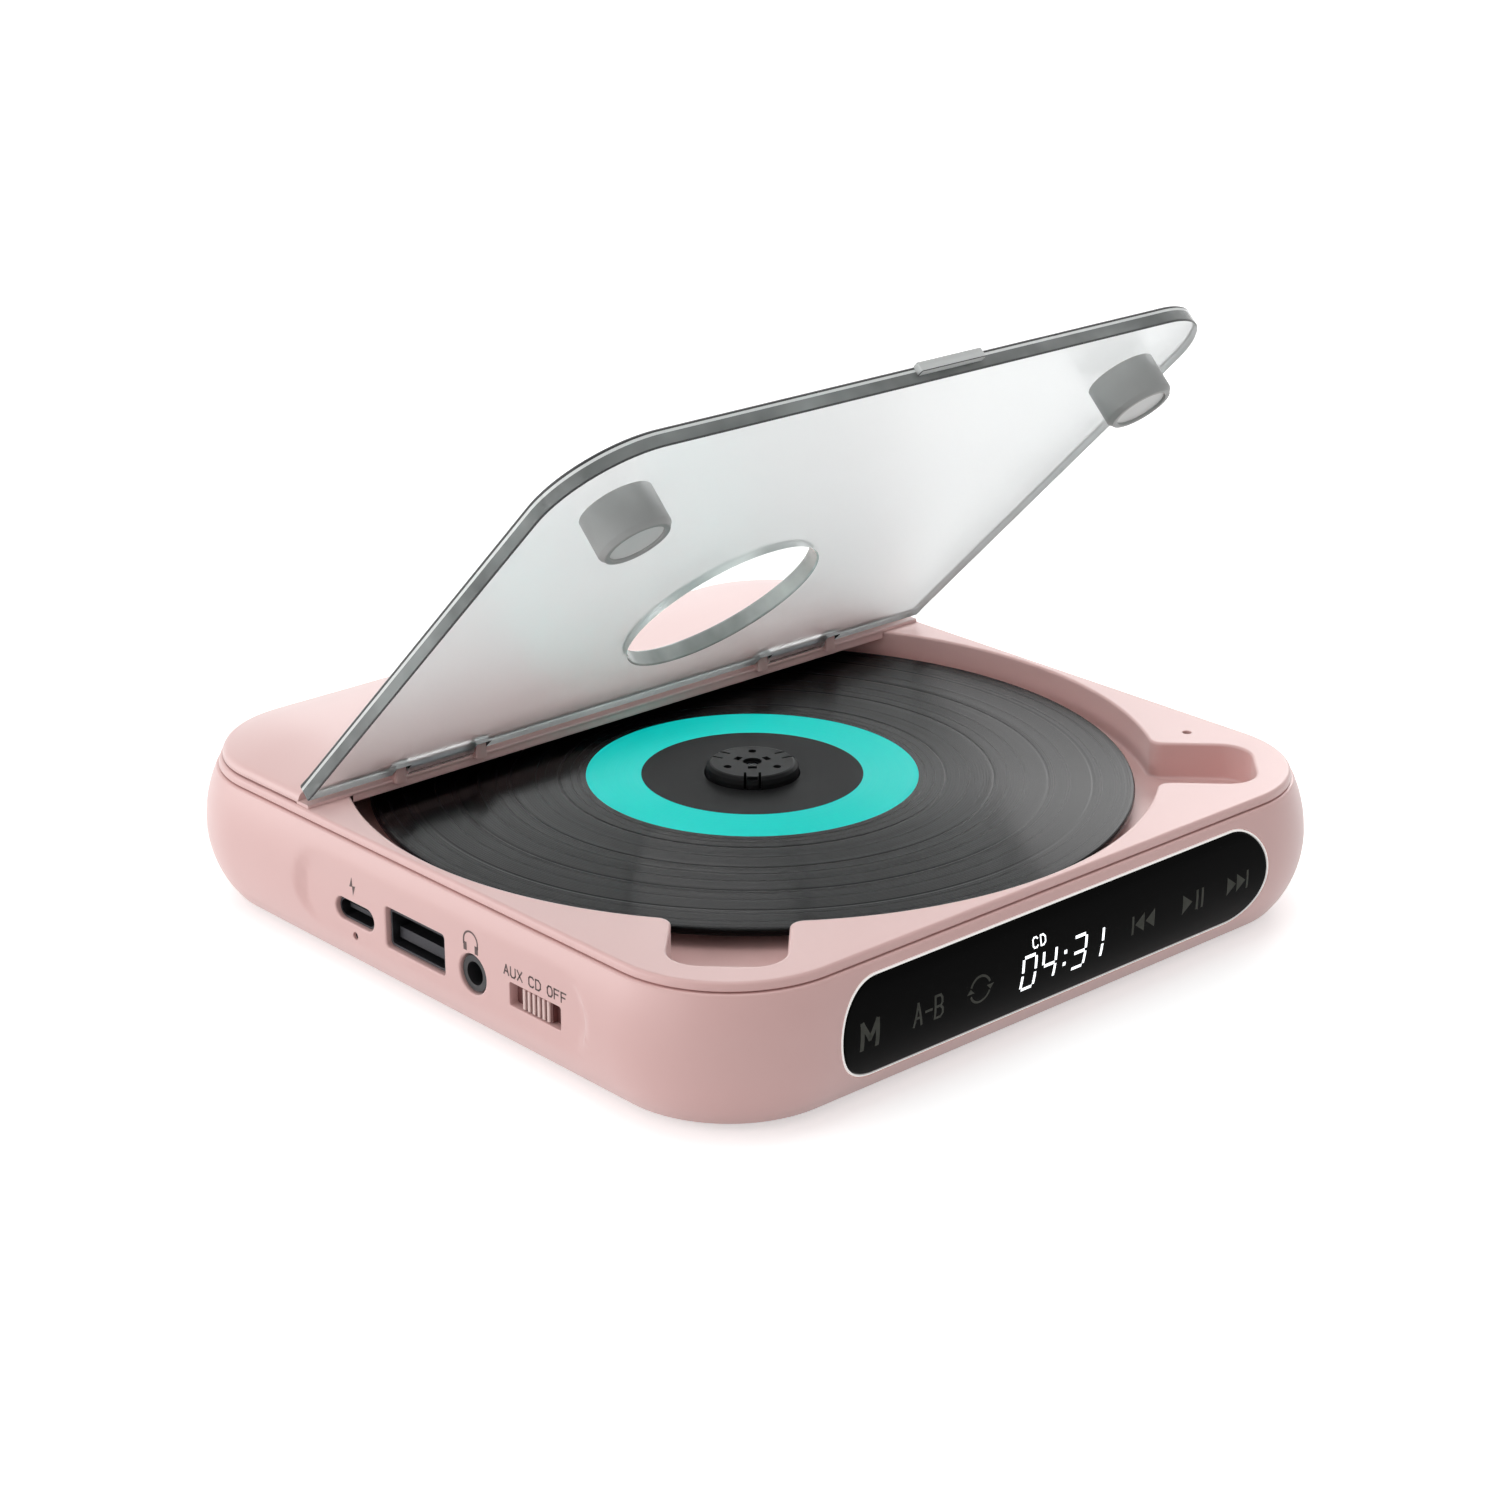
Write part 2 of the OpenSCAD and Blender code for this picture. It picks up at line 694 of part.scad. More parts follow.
// places a piece drawn on the closed lid, with the hinge axis as its X axis
module lid_place() {
    translate([0, hinge_y, pivot_z]) rotate([-lid_open, 0, 0]) children();
}

module lid_plan() {
    translate([-lid_w / 2, lid_corner - lid_len]) square([lid_w, lid_len - lid_corner]);
    translate([lid_corner - lid_w / 2, -lid_len]) square([lid_w - 2 * lid_corner, lid_corner + over]);
    for (s = [-1, 1]) translate([s * (lid_w / 2 - lid_corner), lid_corner - lid_len])
        circle(r = lid_corner);
}

module lid() {
    color([0.86, 0.9, 0.9, 0.4]) lid_place() difference() {
        union() {
            translate([0, 0, -lid_t / 2]) linear_extrude(lid_t) lid_plan();
            translate([tab_x - tab_w / 2, -lid_len - tab_out, -0.2])
                cube([tab_w, tab_out + over, lid_t / 2 + 0.2]);
            along_x(lid_t / 2, lid_w);
            for (k = knuckles) translate([k, 0, 0]) along_x(knuckle_r, knuckle_len);
        }
        translate([0, -hinge_y - lid_hole_y, -lid_t]) cylinder(r = lid_hole_r, h = 2 * lid_t, $fn = 120);
        for (k = knuckles, s = [-1, 1]) translate([k + s * ear_off - ear_t / 2 - 0.3, 0, 0]) {
            translate([0, -ear_r - 0.3, -lid_t]) cube([ear_t + 0.6, ear_r + lid_t, 2 * lid_t]);
        }
        for (k = knuckles) translate([k, 0, 0]) along_x(hinge_pin_r + run_fit, knuckle_len + over);
    }
}

module post_places() {
    for (s = [-1, 1]) translate([s * post_off, -hinge_y - post_off, -lid_t / 2]) children();
}

module lid_posts() {
    color("#8e8f90") lid_place() post_places() rotate_extrude()
        polygon([[0, 0], [post_r, 0], [post_r, 0.9 - post_h], [post_r - 0.5, 0.4 - post_h],
            [post_r - 0.5, -post_h], [magnet_r + seat_fit, -post_h],
            [magnet_r + seat_fit, 3.4 - post_h], [0, 3.4 - post_h]]);
}

module lid_magnets() {
    color("#a8aaa9") lid_place() post_places() translate([0, 0, 0.4 - post_h])
        cylinder(r = magnet_r, h = 3);
}

module catch_magnets() {
    color(steel) at_notches() translate([post_reach, 0, floor_z - 2]) cylinder(r = magnet_r, h = 2);
}

// ---------------------------------------------------------------- disc and turntable

module disc() {
    color("#3a3a3d") translate([0, 0, disc_z]) difference() {
        rotate_extrude($fn = 180)
            polygon([[disc_hole / 2, 0], [16.4, 0], [16.6, -0.2], [17.2, -0.2], [17.4, 0],
                [disc_d / 2 - 0.2, 0], [disc_d / 2, 0.2], [disc_d / 2, disc_t - 0.2],
                [disc_d / 2 - 0.2, disc_t], [disc_hole / 2, disc_t]]);
    }
}

hub_turn = 228;        // direction of the latch tongue that faces the open corner

module hub() {
    rise = hub_top - disc_z;
    color(black) translate([0, 0, disc_z]) difference() {
        rotate_extrude() polygon([[0, 0], [hub_r, 0], [hub_r, rise - 1.2], [hub_r - 0.15, rise - 0.5],
            [hub_r - 0.6, rise - 0.1], [hub_r - 0.9, rise], [0, rise]]);
        translate([0, 0, -over]) cylinder(r = shaft_r + seat_fit, h = rise + 2 * over);
        translate([0, 0, rise - 0.5]) cylinder(r = 1.5, h = over);
        for (a = [0:2]) rotate([0, 0, hub_turn + 120 * a]) {
            translate([2.1, -0.7, rise - 0.7]) cube([1, 1.4, over]);
            for (s = [-1, 1]) translate([hub_r - 2.6, s * 1.15 - 0.2, 0.4]) cube([3, 0.4, rise]);
            translate([hub_r - 0.8, -0.8, rise - 0.5]) cube([2, 1.6, over]);
            rotate([0, 0, 60]) translate([hub_r * 0.61, 0, rise - 0.8]) cylinder(r = 0.65, h = over,
                $fn = 24);
        }
    }
}

module platter() {
    color("#55565a") translate([0, 0, disc_z - platter_t]) difference() {
        rotate_extrude() polygon([[shaft_r + seat_fit, -1.4], [4, -1.4], [4.6, 0], [platter_r, 0],
            [platter_r, platter_t - 0.3], [platter_r - 0.3, platter_t], [shaft_r + seat_fit, platter_t]]);
        for (a = [0:5]) rotate([0, 0, 60 * a]) translate([7, 0, -over]) cylinder(r = 1.4, h = over + 0.7);
    }
}

module spindle_shaft() {
    color(steel) translate([0, 0, motor_z + 0.8]) cylinder(r = shaft_r, h = hub_top - 0.7 - motor_z - 0.8);
}

module spindle_motor() {
    color("#9fa2a6") difference() {
        union() {
            rotate_extrude() polygon([[0, motor_z + 0.3], [4, motor_z + 0.3], [4, motor_z],
                [motor_r - 1, motor_z],
                [motor_r, motor_z + 1], [motor_r, frame_z - 0.6], [motor_r - 0.6, frame_z], [0, frame_z]]);
            translate([0, 0, frame_z - 0.1]) cylinder(r = 3, h = frame_t + 0.3);
        }
        translate([0, 0, motor_z + 0.7]) cylinder(r = shaft_r + run_fit, h = 3 * body_h);
    }
}

// ---------------------------------------------------------------- pickup drive

module frame_plan() {
    tip = rod_out + 1.4;
    polygon([[-18, -20], [28, -20], [tip - 21.4, -26.6], [tip - 7.9, -26.6], [tip - 7.9, -18],
        [tip, -18], [tip, 18], [tip - 7.9, 18], [tip - 7.9, 26.6], [pinion_u + 7, pinion_w + 3],
        [pinion_u - 4, pinion_w + 6], [30, 29], [24, 20], [-18, 20]]);
}

module mech_frame() {
    color("#6e7176") drive_place() difference() {
        union() {
            translate([0, 0, frame_z]) linear_extrude(frame_t) frame_plan();
            for (s = [-1, 1]) {
                translate([rod_in - 0.4, s * rod_w - 2.3, rod_z - 2.2]) cube([3.4, 4.6,
                    frame_z - rod_z + 2.3]);
                translate([rod_out - 1.8, s * rod_w - 2.3, rod_z - 2.2]) cube([2.8, 4.6,
                    frame_z - rod_z + 2.3]);
            }
            for (s = [-1, 1]) translate([-7, s * 19 - 1, frame_z - 2.2]) cube([35, 2, 2.3]);
        }
        translate([0, 0, frame_z - over]) cylinder(r = 3 + slack, h = frame_t + 2 * over);
        translate([track_in - turret_half - 0.8, -window_w, frame_z - over])
            cube([track_len + 2 * turret_half + 1.6, 2 * window_w, frame_t + 2 * over]);
        for (p = damper_at) translate([p[0], p[1], frame_z - over])
            cylinder(r = damper_hole, h = frame_t + 2 * over);
        for (s = [-1, 1]) translate([rod_in, s * rod_w, rod_z]) rotate([0, 90, 0])
            cylinder(r = rod_r + seat_fit, h = rod_out - rod_in);
        translate([arbor_u, arbor_w, frame_z - over]) cylinder(r = arbor_r + seat_fit,
            h = frame_t + 2 * over);
        translate([pinion_u, pinion_w, frame_z - over]) cylinder(r = 2.2, h = frame_t + 2 * over);
    }
}

module dampers() {
    color("#3b3b3f") drive_place() for (p = damper_at) translate([p[0], p[1], 0]) rotate_extrude()
        polygon([[1.65, frame_z - 1.2], [4, frame_z - 1.2], [4.2, frame_z - 0.6], [4, frame_z],
            [damper_hole - 0.02, frame_z], [damper_hole - 0.02, frame_top], [4, frame_top],
            [4.2, frame_top + 0.4], [4, floor_z], [1.65, floor_z]]);
}

module mech_screws() {
    color(steel) drive_place() for (p = damper_at) translate([p[0], p[1], 0]) difference() {
        union() {
            translate([0, 0, frame_z - 2.2]) cylinder(r = 3.4, h = 1);
            translate([0, 0, frame_z - 1.3]) cylinder(r = 0.78, h = 2.2);
        }
        translate([0, 0, frame_z - 2.3]) linear_extrude(0.5) {
            square([2.2, 0.45], center = true);
            square([0.45, 2.2], center = true);
        }
    }
}

module guide_rods() {
    color(steel) drive_place() for (s = [-1, 1]) translate([rod_in, s * rod_w, rod_z])
        rotate([0, 90, 0]) cylinder(r = rod_r, h = rod_out - rod_in);
}

module pickup_sled() {
    color("#3f4247") drive_place() translate([track_in, 0, 0]) difference() {
        union() {
            translate([-sled_half, -sled_w, rod_z - 2.1]) cube([2 * sled_half, 2 * sled_w, 4.3]);
            translate([-sled_half + 1, -12, sled_z]) cube([2 * sled_half - 2, 24, sled_top - sled_z]);
            translate([-turret_half + 0.6, -window_w + 1, sled_top - 1])
                cube([2 * turret_half - 1.2, 2 * window_w - 2, frame_top - sled_top + 1.2]);
        }
        translate([0, -rod_w, rod_z]) rotate([0, 90, 0])
            cylinder(r = rod_r + run_fit, h = 3 * sled_half, center = true);
        translate([0, rod_w, rod_z]) rotate([0, 90, 0])
            cylinder(r = rod_r + 0.1, h = 3 * sled_half, center = true);
        translate([-5.4, -6.4, frame_top - 1.6]) cube([10.8, 12.8, 4]);
        for (s = [-1, 1]) translate([-sled_half + 4, s * 9.5 - 1.5, sled_z - over])
            cube([2 * sled_half - 8, 3, over + 1.2]);
    }
}

// teeth of the rack stand along the travel and mesh with the small feed wheel
module sled_rack() {
    pitch = PI * gear_m;
    count = 22;
    tooth = [[-0.345 * pitch, -1.15 * gear_m], [-0.112 * pitch, 0.8 * gear_m],
        [0.112 * pitch, 0.8 * gear_m], [0.345 * pitch, -1.15 * gear_m]];
    first = arbor_u - track_in - pitch * (count - 1);
    color("#d9d6cc") drive_place() translate([track_in, 0, rod_z - 2.6]) linear_extrude(2.2)
        polygon(concat([[-20, sled_w], [-20, rack_w - 1.15 * gear_m]],
            [for (k = [0:count - 1], p = tooth) [first + pitch * k + p[0], rack_w + p[1]]],
            [[15.2, rack_w - 1.15 * gear_m], [15.2, sled_w]]));
}

module lens_holder() {
    color(black) drive_place() translate([track_in, 0, frame_top - 1.6]) difference() {
        union() {
            translate([-5.1, -6.1, 0]) cube([10.2, 12.2, 1.4]);
            translate([-4.2, -5.2, 0]) cube([8.4, 10.4, lens_z - frame_top + 1.2]);
            cylinder(r = 3.6, h = lens_z - frame_top + 1.6);
        }
        translate([0, 0, lens_z - frame_top + 0.6]) cylinder(r = 2.5, h = 2);
    }
}

module pickup_lens() {
    color([0.5, 0.65, 0.85, 0.8]) drive_place() translate([track_in, 0, lens_z - 1]) intersection() {
        cylinder(r = 2.46, h = 1);
        translate([0, 0, -4]) sphere(r = 4.9);
    }
}

module feed_arbor() {
    color(steel) drive_place() translate([arbor_u, arbor_w, wheel_z - 0.7]) {
        cylinder(r = arbor_r, h = frame_top - wheel_z + 0.7);
        cylinder(r = 1.9, h = 0.5);
    }
}

module feed_gear() {
    color("#e8e4d8") drive_place() translate([arbor_u, arbor_w, wheel_z]) difference() {
        union() {
            linear_extrude(wheel_t) rotate(45) gear_plan(wheel_teeth, 0.12);
            cylinder(r = 2.2, h = frame_z - wheel_z - 0.3);
            translate([0, 0, wheel_t + 1]) linear_extrude(rod_z - wheel_z - wheel_t - 1)
                rotate(-90 + 180 / small_teeth) gear_plan(small_teeth, 0.12);
        }
        translate([0, 0, -over]) cylinder(r = arbor_r + run_fit, h = frame_z);
        for (a = [0:5]) rotate([0, 0, 60 * a]) translate([5.6, 0, -over]) cylinder(r = 1.6,
            h = wheel_t + 2 * over);
    }
}

module feed_motor() {
    color("#a9abae") drive_place() translate([pinion_u, pinion_w, 0]) difference() {
        union() {
            rotate_extrude() polygon([[0, frame_z - 7], [2, frame_z - 7], [2, frame_z - 6.6],
                [feed_motor_r - 0.5, frame_z - 6.6],
                [feed_motor_r, frame_z - 6.1], [feed_motor_r, frame_z], [0, frame_z]]);
            translate([0, 0, frame_z - 0.1]) cylinder(r = 2, h = frame_t);
        }
        translate([0, 0, frame_z - 8]) cylinder(r = 0.5 + run_fit, h = 6);
    }
}

module motor_shaft() {
    color(steel) drive_place() translate([pinion_u, pinion_w, wheel_z - 0.2])
        cylinder(r = 0.5, h = frame_z - 2.2 - wheel_z);
}

module motor_pinion() {
    color("#c9a24a") drive_place() translate([pinion_u, pinion_w, wheel_z - 0.2]) difference() {
        linear_extrude(wheel_t + 0.4) rotate(225 + 180 / pinion_teeth) gear_plan(pinion_teeth, 0.12);
        translate([0, 0, -over]) cylinder(r = 0.5 + seat_fit, h = wheel_t + 3 * over);
    }
}

// ---------------------------------------------------------------- display

module wall_layer(grow, y0, outer, inner) {
    difference() {
        intersection() {
            wall_solid(outer);
            front_prism(grow, y0, front_y + over);
        }
        wall_solid(inner);
    }
}

module display_window() {
    color("#0b0b0d") wall_layer(-slack, top_d / 2 - 3, 0, glass_t);
}

module window_trim() {
    color("#f4f2ef") difference() {
        wall_layer(trim_w, top_d / 2 - 3, 0, glass_t);
        front_prism(0, top_d / 2 - 5, front_y + 2 * over);
    }
}

module touch_film() {
    color("#8a6a3c") wall_layer(-1.6, top_d / 2 - 3, glass_t + 0.05, glass_t + 0.35);
}

module touch_pads() {
    color("#2c2c2e") for (x = key_xs) translate([x, -display_y, key_z]) rotate([90, 0, 0])
        cylinder(r = 2.4, h = front_y - glass_t - 0.6 - display_y);
}

module display_board() {
    width = win_w + 2.4;
    color(board_green) translate([-width / 2, -display_y, base_top + flange_t])
        cube([width, board_t, floor_z - 0.5 - base_top - flange_t]);
}

module digit_module() {
    color("#1a1a1c") translate([-11, -display_y - 1.4, key_z - 4]) cube([22, 1.4, 7]);
}

// ---------------------------------------------------------------- electronics and ports

module main_board() {
    color(board_green) difference() {
        translate([-board_x, board_y0, board_z]) cube([board_w, board_y1 - board_y0, board_t]);
        board_posts() translate([0, 0, board_z - over]) cylinder(r = 1.1, h = board_t + 2 * over);
    }
}

module board_chips() {
    color("#2b2b2f") translate([-board_x, (board_y0 + board_y1) / 2, board_top]) {
        translate([14, -11, 0]) cube([10, 10, 1.1]);
        translate([15, 11, 0]) cube([7, 7, 0.9]);
        translate([13, -29, 0]) cube([5, 6, 1]);
        for (y = [23, 28]) translate([20, y, 0]) cylinder(r = 2, h = 4.6);
        for (k = [0:5]) translate([board_w - 3.5, -7 + 4 * k, 0]) cube([1.2, 2, 0.8]);
        translate([22, -23, 0]) cube([4.4, 4.4, 2]);
    }
}

module board_screws() {
    color(steel) board_posts() {
        translate([0, 0, board_z - 3.6]) cylinder(r = 0.92, h = 3.6 + board_t);
        translate([0, 0, board_top]) difference() {
            cylinder(r = 1.9, h = 1.2);
            translate([0, 0, 0.7]) linear_extrude(over) {
                square([2.2, 0.45], center = true);
                square([0.45, 2.2], center = true);
            }
        }
    }
}

module battery() {
    color("#b8b4a4") translate([battery_x, battery_y, base_top]) difference() {
        linear_extrude(battery_t) rounded_rect(battery_w, battery_d, 1.5);
        translate([-battery_w / 2 - over, -battery_d / 2 - over, battery_t - 0.8])
            cube([3 + over, battery_d + 2 * over, over + 0.8]);
    }
}

module socket_prism(len) {
    rotate([90, 0, 90]) linear_extrude(len) children();
}

module usb_c_socket() {
    color(steel) translate([-socket_x, usb_c_y, 0]) {
        translate([0, 0, port_z]) {
            difference() {
                socket_prism(7.4) stadium(8.94, 3.2);
                translate([-over, 0, 0]) socket_prism(over + 6.4) stadium(8.34, 2.6);
            }
            translate([1, -3.3, -0.35]) cube([6, 6.6, 0.7]);
        }
        translate([5, -4, board_top]) cube([2.4, 8, port_z - board_top - 1.5]);
    }
}

module usb_a_socket() {
    color(steel) translate([-socket_x, usb_a_y, 0]) {
        translate([0, 0, usb_a_z]) {
            difference() {
                socket_prism(13.8) rounded_rect(13.2, 5.8, 0.5);
                translate([-over, 0, 0]) socket_prism(over + 12.6) rounded_rect(12.5, 5.1, 0.4);
            }
            translate([1, -5.8, -1.8]) cube([12, 11.6, 1.8]);
        }
        translate([4.6, -6, board_top]) cube([9, 12, usb_a_z - board_top - 2.85]);
    }
}

module headphone_jack() {
    color(black) translate([-socket_x, jack_y, 0]) difference() {
        union() {
            translate([1.3, -3.1, board_top]) cube([12, 6.2, 6.5]);
            translate([-0.2, 0, port_z]) rotate([0, 90, 0]) cylinder(r = 2.75, h = 1.8);
        }
        translate([-0.2 - over, 0, port_z]) rotate([0, 90, 0]) cylinder(r = 1.8, h = 12 + over);
    }
}

module switch_body() {
    color("#c4c6c8") translate([-socket_x + 2.6, switch_y, board_top]) difference() {
        translate([0, -5.5, 0]) cube([4, 11, 4.6]);
        translate([-over, -3.4, port_z - board_top - 0.8]) cube([over + 2.4, 6.8, 1.6]);
    }
}

module switch_knob() {
    outer = side_x - pad_depth - socket_x - 0.2;
    color("#b98b8d") translate([-socket_x, switch_y, port_z]) {
        translate([0.8, -8.4, -2.1]) cube([0.9, 16.8, 4.6]);
        translate([-outer + 0.4, -3.35, -1.65]) cube([outer + 0.6, 6.7, 3.3]);
        for (k = [-2:2]) translate([-outer, k * 1.3 - 0.3, -1.65]) cube([0.6, 0.6, 3.3]);
        translate([1.6, -0.7, -0.6]) cube([2.6, 1.4, 1.2]);
    }
}

module charge_light() {
    color("#d8e8d8") translate([-socket_x - 0.2, usb_c_y, port_z - 3.6]) rotate([0, 90, 0])
        cylinder(r = 0.55, h = socket_x + 0.2 - board_x);
}

module sensor_place() {
    translate([top_w / 2 - 6.7, -corner_y + 6.3, 0]) children();
}

module lid_sensor() {
    color(board_green) sensor_place() translate([-3, -2, part_z - 1.6]) cube([6, 4, 1.6]);
}

top_deck();
case_shell();
base_cover();
rubber_feet();
base_screws();
rear_cap();
cap_screws();
hinge_pins();
lid();
lid_posts();
lid_magnets();
catch_magnets();
disc();
hub();
platter();
spindle_shaft();
spindle_motor();
mech_frame();
dampers();
mech_screws();
guide_rods();
pickup_sled();
sled_rack();
lens_holder();
pickup_lens();
feed_arbor();
feed_gear();
feed_motor();
motor_shaft();
motor_pinion();
display_window();
window_trim();
touch_film();
touch_pads();
display_board();
digit_module();
main_board();
board_chips();
board_screws();
battery();
usb_c_socket();
usb_a_socket();
headphone_jack();
switch_body();
switch_knob();
charge_light();
lid_sensor();
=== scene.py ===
from math import atan2, cos, degrees, pi, radians, sin, sqrt
import bpy
import numpy as np
from mathutils import Matrix, Vector
from mathutils.geometry import delaunay_2d_cdt


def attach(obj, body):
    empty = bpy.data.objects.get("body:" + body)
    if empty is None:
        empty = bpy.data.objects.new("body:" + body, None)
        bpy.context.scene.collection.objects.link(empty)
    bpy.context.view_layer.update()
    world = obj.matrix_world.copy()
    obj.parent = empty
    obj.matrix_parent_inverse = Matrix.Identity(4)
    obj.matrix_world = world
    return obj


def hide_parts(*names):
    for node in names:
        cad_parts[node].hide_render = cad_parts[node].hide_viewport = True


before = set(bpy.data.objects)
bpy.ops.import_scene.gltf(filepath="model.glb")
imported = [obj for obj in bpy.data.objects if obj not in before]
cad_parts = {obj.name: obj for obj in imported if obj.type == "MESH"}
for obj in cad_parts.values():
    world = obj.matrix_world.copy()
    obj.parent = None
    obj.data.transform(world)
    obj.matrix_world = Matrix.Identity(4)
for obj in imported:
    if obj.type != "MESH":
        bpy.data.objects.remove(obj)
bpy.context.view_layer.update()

# lengths are millimetres in the part's own frame: Z up, the display faces -Y, the sockets face -X
mm = 0.001


def srgb(code):
    # hex pairs to linear light: c / 12.92 up to 0.04045, else ((c + 0.055) / 1.055) ** 2.4
    out = []
    for k in (1, 3, 5):
        c = int(code[k:k + 2], 16) / 255
        out.append(c / 12.92 if c <= 0.04045 else ((c + 0.055) / 1.055) ** 2.4)
    return (*out, 1.0)


def show(name, data):
    # puts mesh, lamp or camera data into the scene
    o = bpy.data.objects.new(name, data)
    bpy.context.scene.collection.objects.link(o)
    return o


def shaderOf(m):
    return m.node_tree.nodes["Principled BSDF"]


def paint(name, color, roughness, **inputs):
    # any other value goes to the shader's input of that name, with _ for a space
    m = bpy.data.materials.new(name)
    m.use_nodes = True
    shaderOf(m).inputs["Base Color"].default_value = srgb(color)
    shaderOf(m).inputs["Roughness"].default_value = roughness
    for key, value in inputs.items():
        shaderOf(m).inputs[key.replace("_", " ")].default_value = value
    return m


def node(m, kind, links=(), **values):
    # inK is the value of input K, and a link is a source and an input
    n = m.node_tree.nodes.new("ShaderNode" + kind)
    for key, value in values.items():
        if key.startswith("in"):
            n.inputs[int(key[2:])].default_value = value
        else:
            setattr(n, key, value)
    for source, index in links:
        m.node_tree.links.new(source, n.inputs[index])
    return n


def coordsOf(m):
    return node(m, "TexCoord").outputs["Object"]


def link(m, source, socket):
    m.node_tree.links.new(source, shaderOf(m).inputs[socket])


def cells(m, sizeMm, detail=3.0, stretch=(1, 1, 1)):
    # noise whose lumps are about sizeMm across, and longer where stretch is below 1
    spread = node(m, "VectorMath", [(coordsOf(m), 0)], operation="MULTIPLY", in1=stretch)
    noise = node(m, "TexNoise", [(spread.outputs[0], 0)], in2=0.5 / (sizeMm * mm), in3=detail)
    return noise.outputs["Fac"]


def pressed(m, source, strength, depthMm):
    # bump: a height of 1 stands for depthMm
    bump = node(m, "Bump", [(source, "Height")], in0=strength, in1=depthMm * mm)
    link(m, bump.outputs["Normal"], "Normal")


def varied(m, source, darker, lighter, low=0.3, high=0.7):
    # base colour that drifts between two near tones
    ramp = node(m, "ValToRGB", [(source, 0)])
    for k, (at, color) in enumerate(((low, darker), (high, lighter))):
        ramp.color_ramp.elements[k].position = at
        ramp.color_ramp.elements[k].color = srgb(color)
    link(m, ramp.outputs[0], "Base Color")


def worn(m, source, low, high):
    # roughness that drifts between two values
    spread = node(m, "MapRange", [(source, 0)], in1=0.3, in2=0.7, in3=low, in4=high)
    link(m, spread.outputs[0], "Roughness")


def moulded(name, tones, roughness, grainMm=0.25, depthMm=0.01, **inputs):
    # injection moulded: eroded fine grain, and a tone that drifts over about 14 mm
    m = paint(name, tones[0], roughness, **inputs)
    pressed(m, cells(m, grainMm), 0.12, depthMm)
    drift = cells(m, 14.0, 2.0)
    varied(m, drift, *tones)
    worn(m, drift, roughness - 0.03, roughness + 0.03)
    return m


def drawnMetal(name, tones, roughness, stretch=(1, 1, 0.04), markMm=0.15, metallic=1.0):
    # fine marks drawn out along one axis spread the highlights across them
    m = paint(name, tones[0], roughness, Metallic=metallic)
    marks = cells(m, markMm, 4.0, stretch)
    pressed(m, marks, 0.1, 0.01)
    varied(m, marks, *tones)
    worn(m, marks, roughness - 0.06, roughness + 0.06)
    return m


def grooved(name, color, roughness, anisotropy, bump, wear, **inputs):
    # grooves round Z: height sin(perMetre r) plus noise in r; highlights run along the radius
    m = paint(name, color, roughness, Anisotropic=anisotropy, Anisotropic_Rotation=0.25, **inputs)
    link(m, node(m, "Tangent", direction_type="RADIAL", axis="Z").outputs[0], "Tangent")
    flat = node(m, "VectorMath", [(coordsOf(m), 0)], operation="MULTIPLY", in1=(1, 1, 0))
    radius = node(m, "VectorMath", [(flat.outputs[0], 0)], operation="LENGTH").outputs["Value"]
    perMetre = 14000.0  # radians: a groove each 0.45 mm
    fine = node(m, "Math", [(radius, 0)], operation="MULTIPLY", in1=perMetre)
    wave = node(m, "Math", [(fine.outputs[0], 0)], operation="SINE")
    band = node(m, "TexNoise", [(radius, 1)], noise_dimensions="1D", in2=900.0, in3=6.0)
    total = node(m, "Math", [(wave.outputs[0], 0), (band.outputs["Fac"], 2)],
        operation="MULTIPLY_ADD", in1=0.35)
    pressed(m, total.outputs[0], bump, 0.08)
    worn(m, band.outputs["Fac"], roughness - wear, roughness + wear)
    return m


# soft touch painted ABS: satin, under a coat that turns white where light grazes it
satin = dict(Coat_Weight=0.6, Coat_Roughness=0.4, Sheen_Weight=0.3, Sheen_Roughness=0.45)
pinkCase = moulded("satin pink painted ABS", ("#dbb0ac", "#ddb3af"), 0.46, 0.3, 0.012, **satin)
# the cap's copy of the case paint is lighter: painted light for its lit top
litCapPink = moulded("satin pink painted ABS cap", ("#dfb8b4", "#e1bbb7"), 0.44, 0.3, 0.012, **satin)
# acetal, painted dark as shade on the guide plate and grip, and pale on the ribs as a painted highlight
shadedKnobPink = moulded("dusky pink acetal", ("#6a4240", "#704744"), 0.45)
litRibPink = moulded("pale rib edge of acetal", ("#e0c2bd", "#e6cbc6"), 0.4)
# cast acrylic, black behind, with a faint haze of wiping marks
blackGloss = paint("gloss black acrylic", "#030303", 0.1, Specular_IOR_Level=0.025)
worn(blackGloss, cells(blackGloss, 1.5, 4.0, (0.1, 1, 1)), 0.08, 0.14)
# printed and lit marks: nearly without gloss
# the window's white print glows faintly: painted light that keeps it white in shade
glowingWindowLine = paint("white printed window edge", "#f6f3f0", 0.4, Emission_Strength=0.3,
    Emission_Color=srgb("#f6f3f0"))
pressed(glowingWindowLine, cells(glowingWindowLine, 0.2), 0.1, 0.005)
iconGrey = paint("grey translucent ink, unlit", "#474843", 0.5, Specular_IOR_Level=0.05)
varied(iconGrey, cells(iconGrey, 1.2), "#41423d", "#4c4d48")
litWhite = paint("lit white digit", "#ffffff", 0.4, Emission_Strength=1.1, Emission_Color=srgb("#f6fbff"))
worn(litWhite, cells(litWhite, 0.5), 0.35, 0.45)
printGrey = paint("dark pad printed ink", "#5c4745", 0.5)
varied(printGrey, cells(printGrey, 0.3), "#544240", "#66504e")
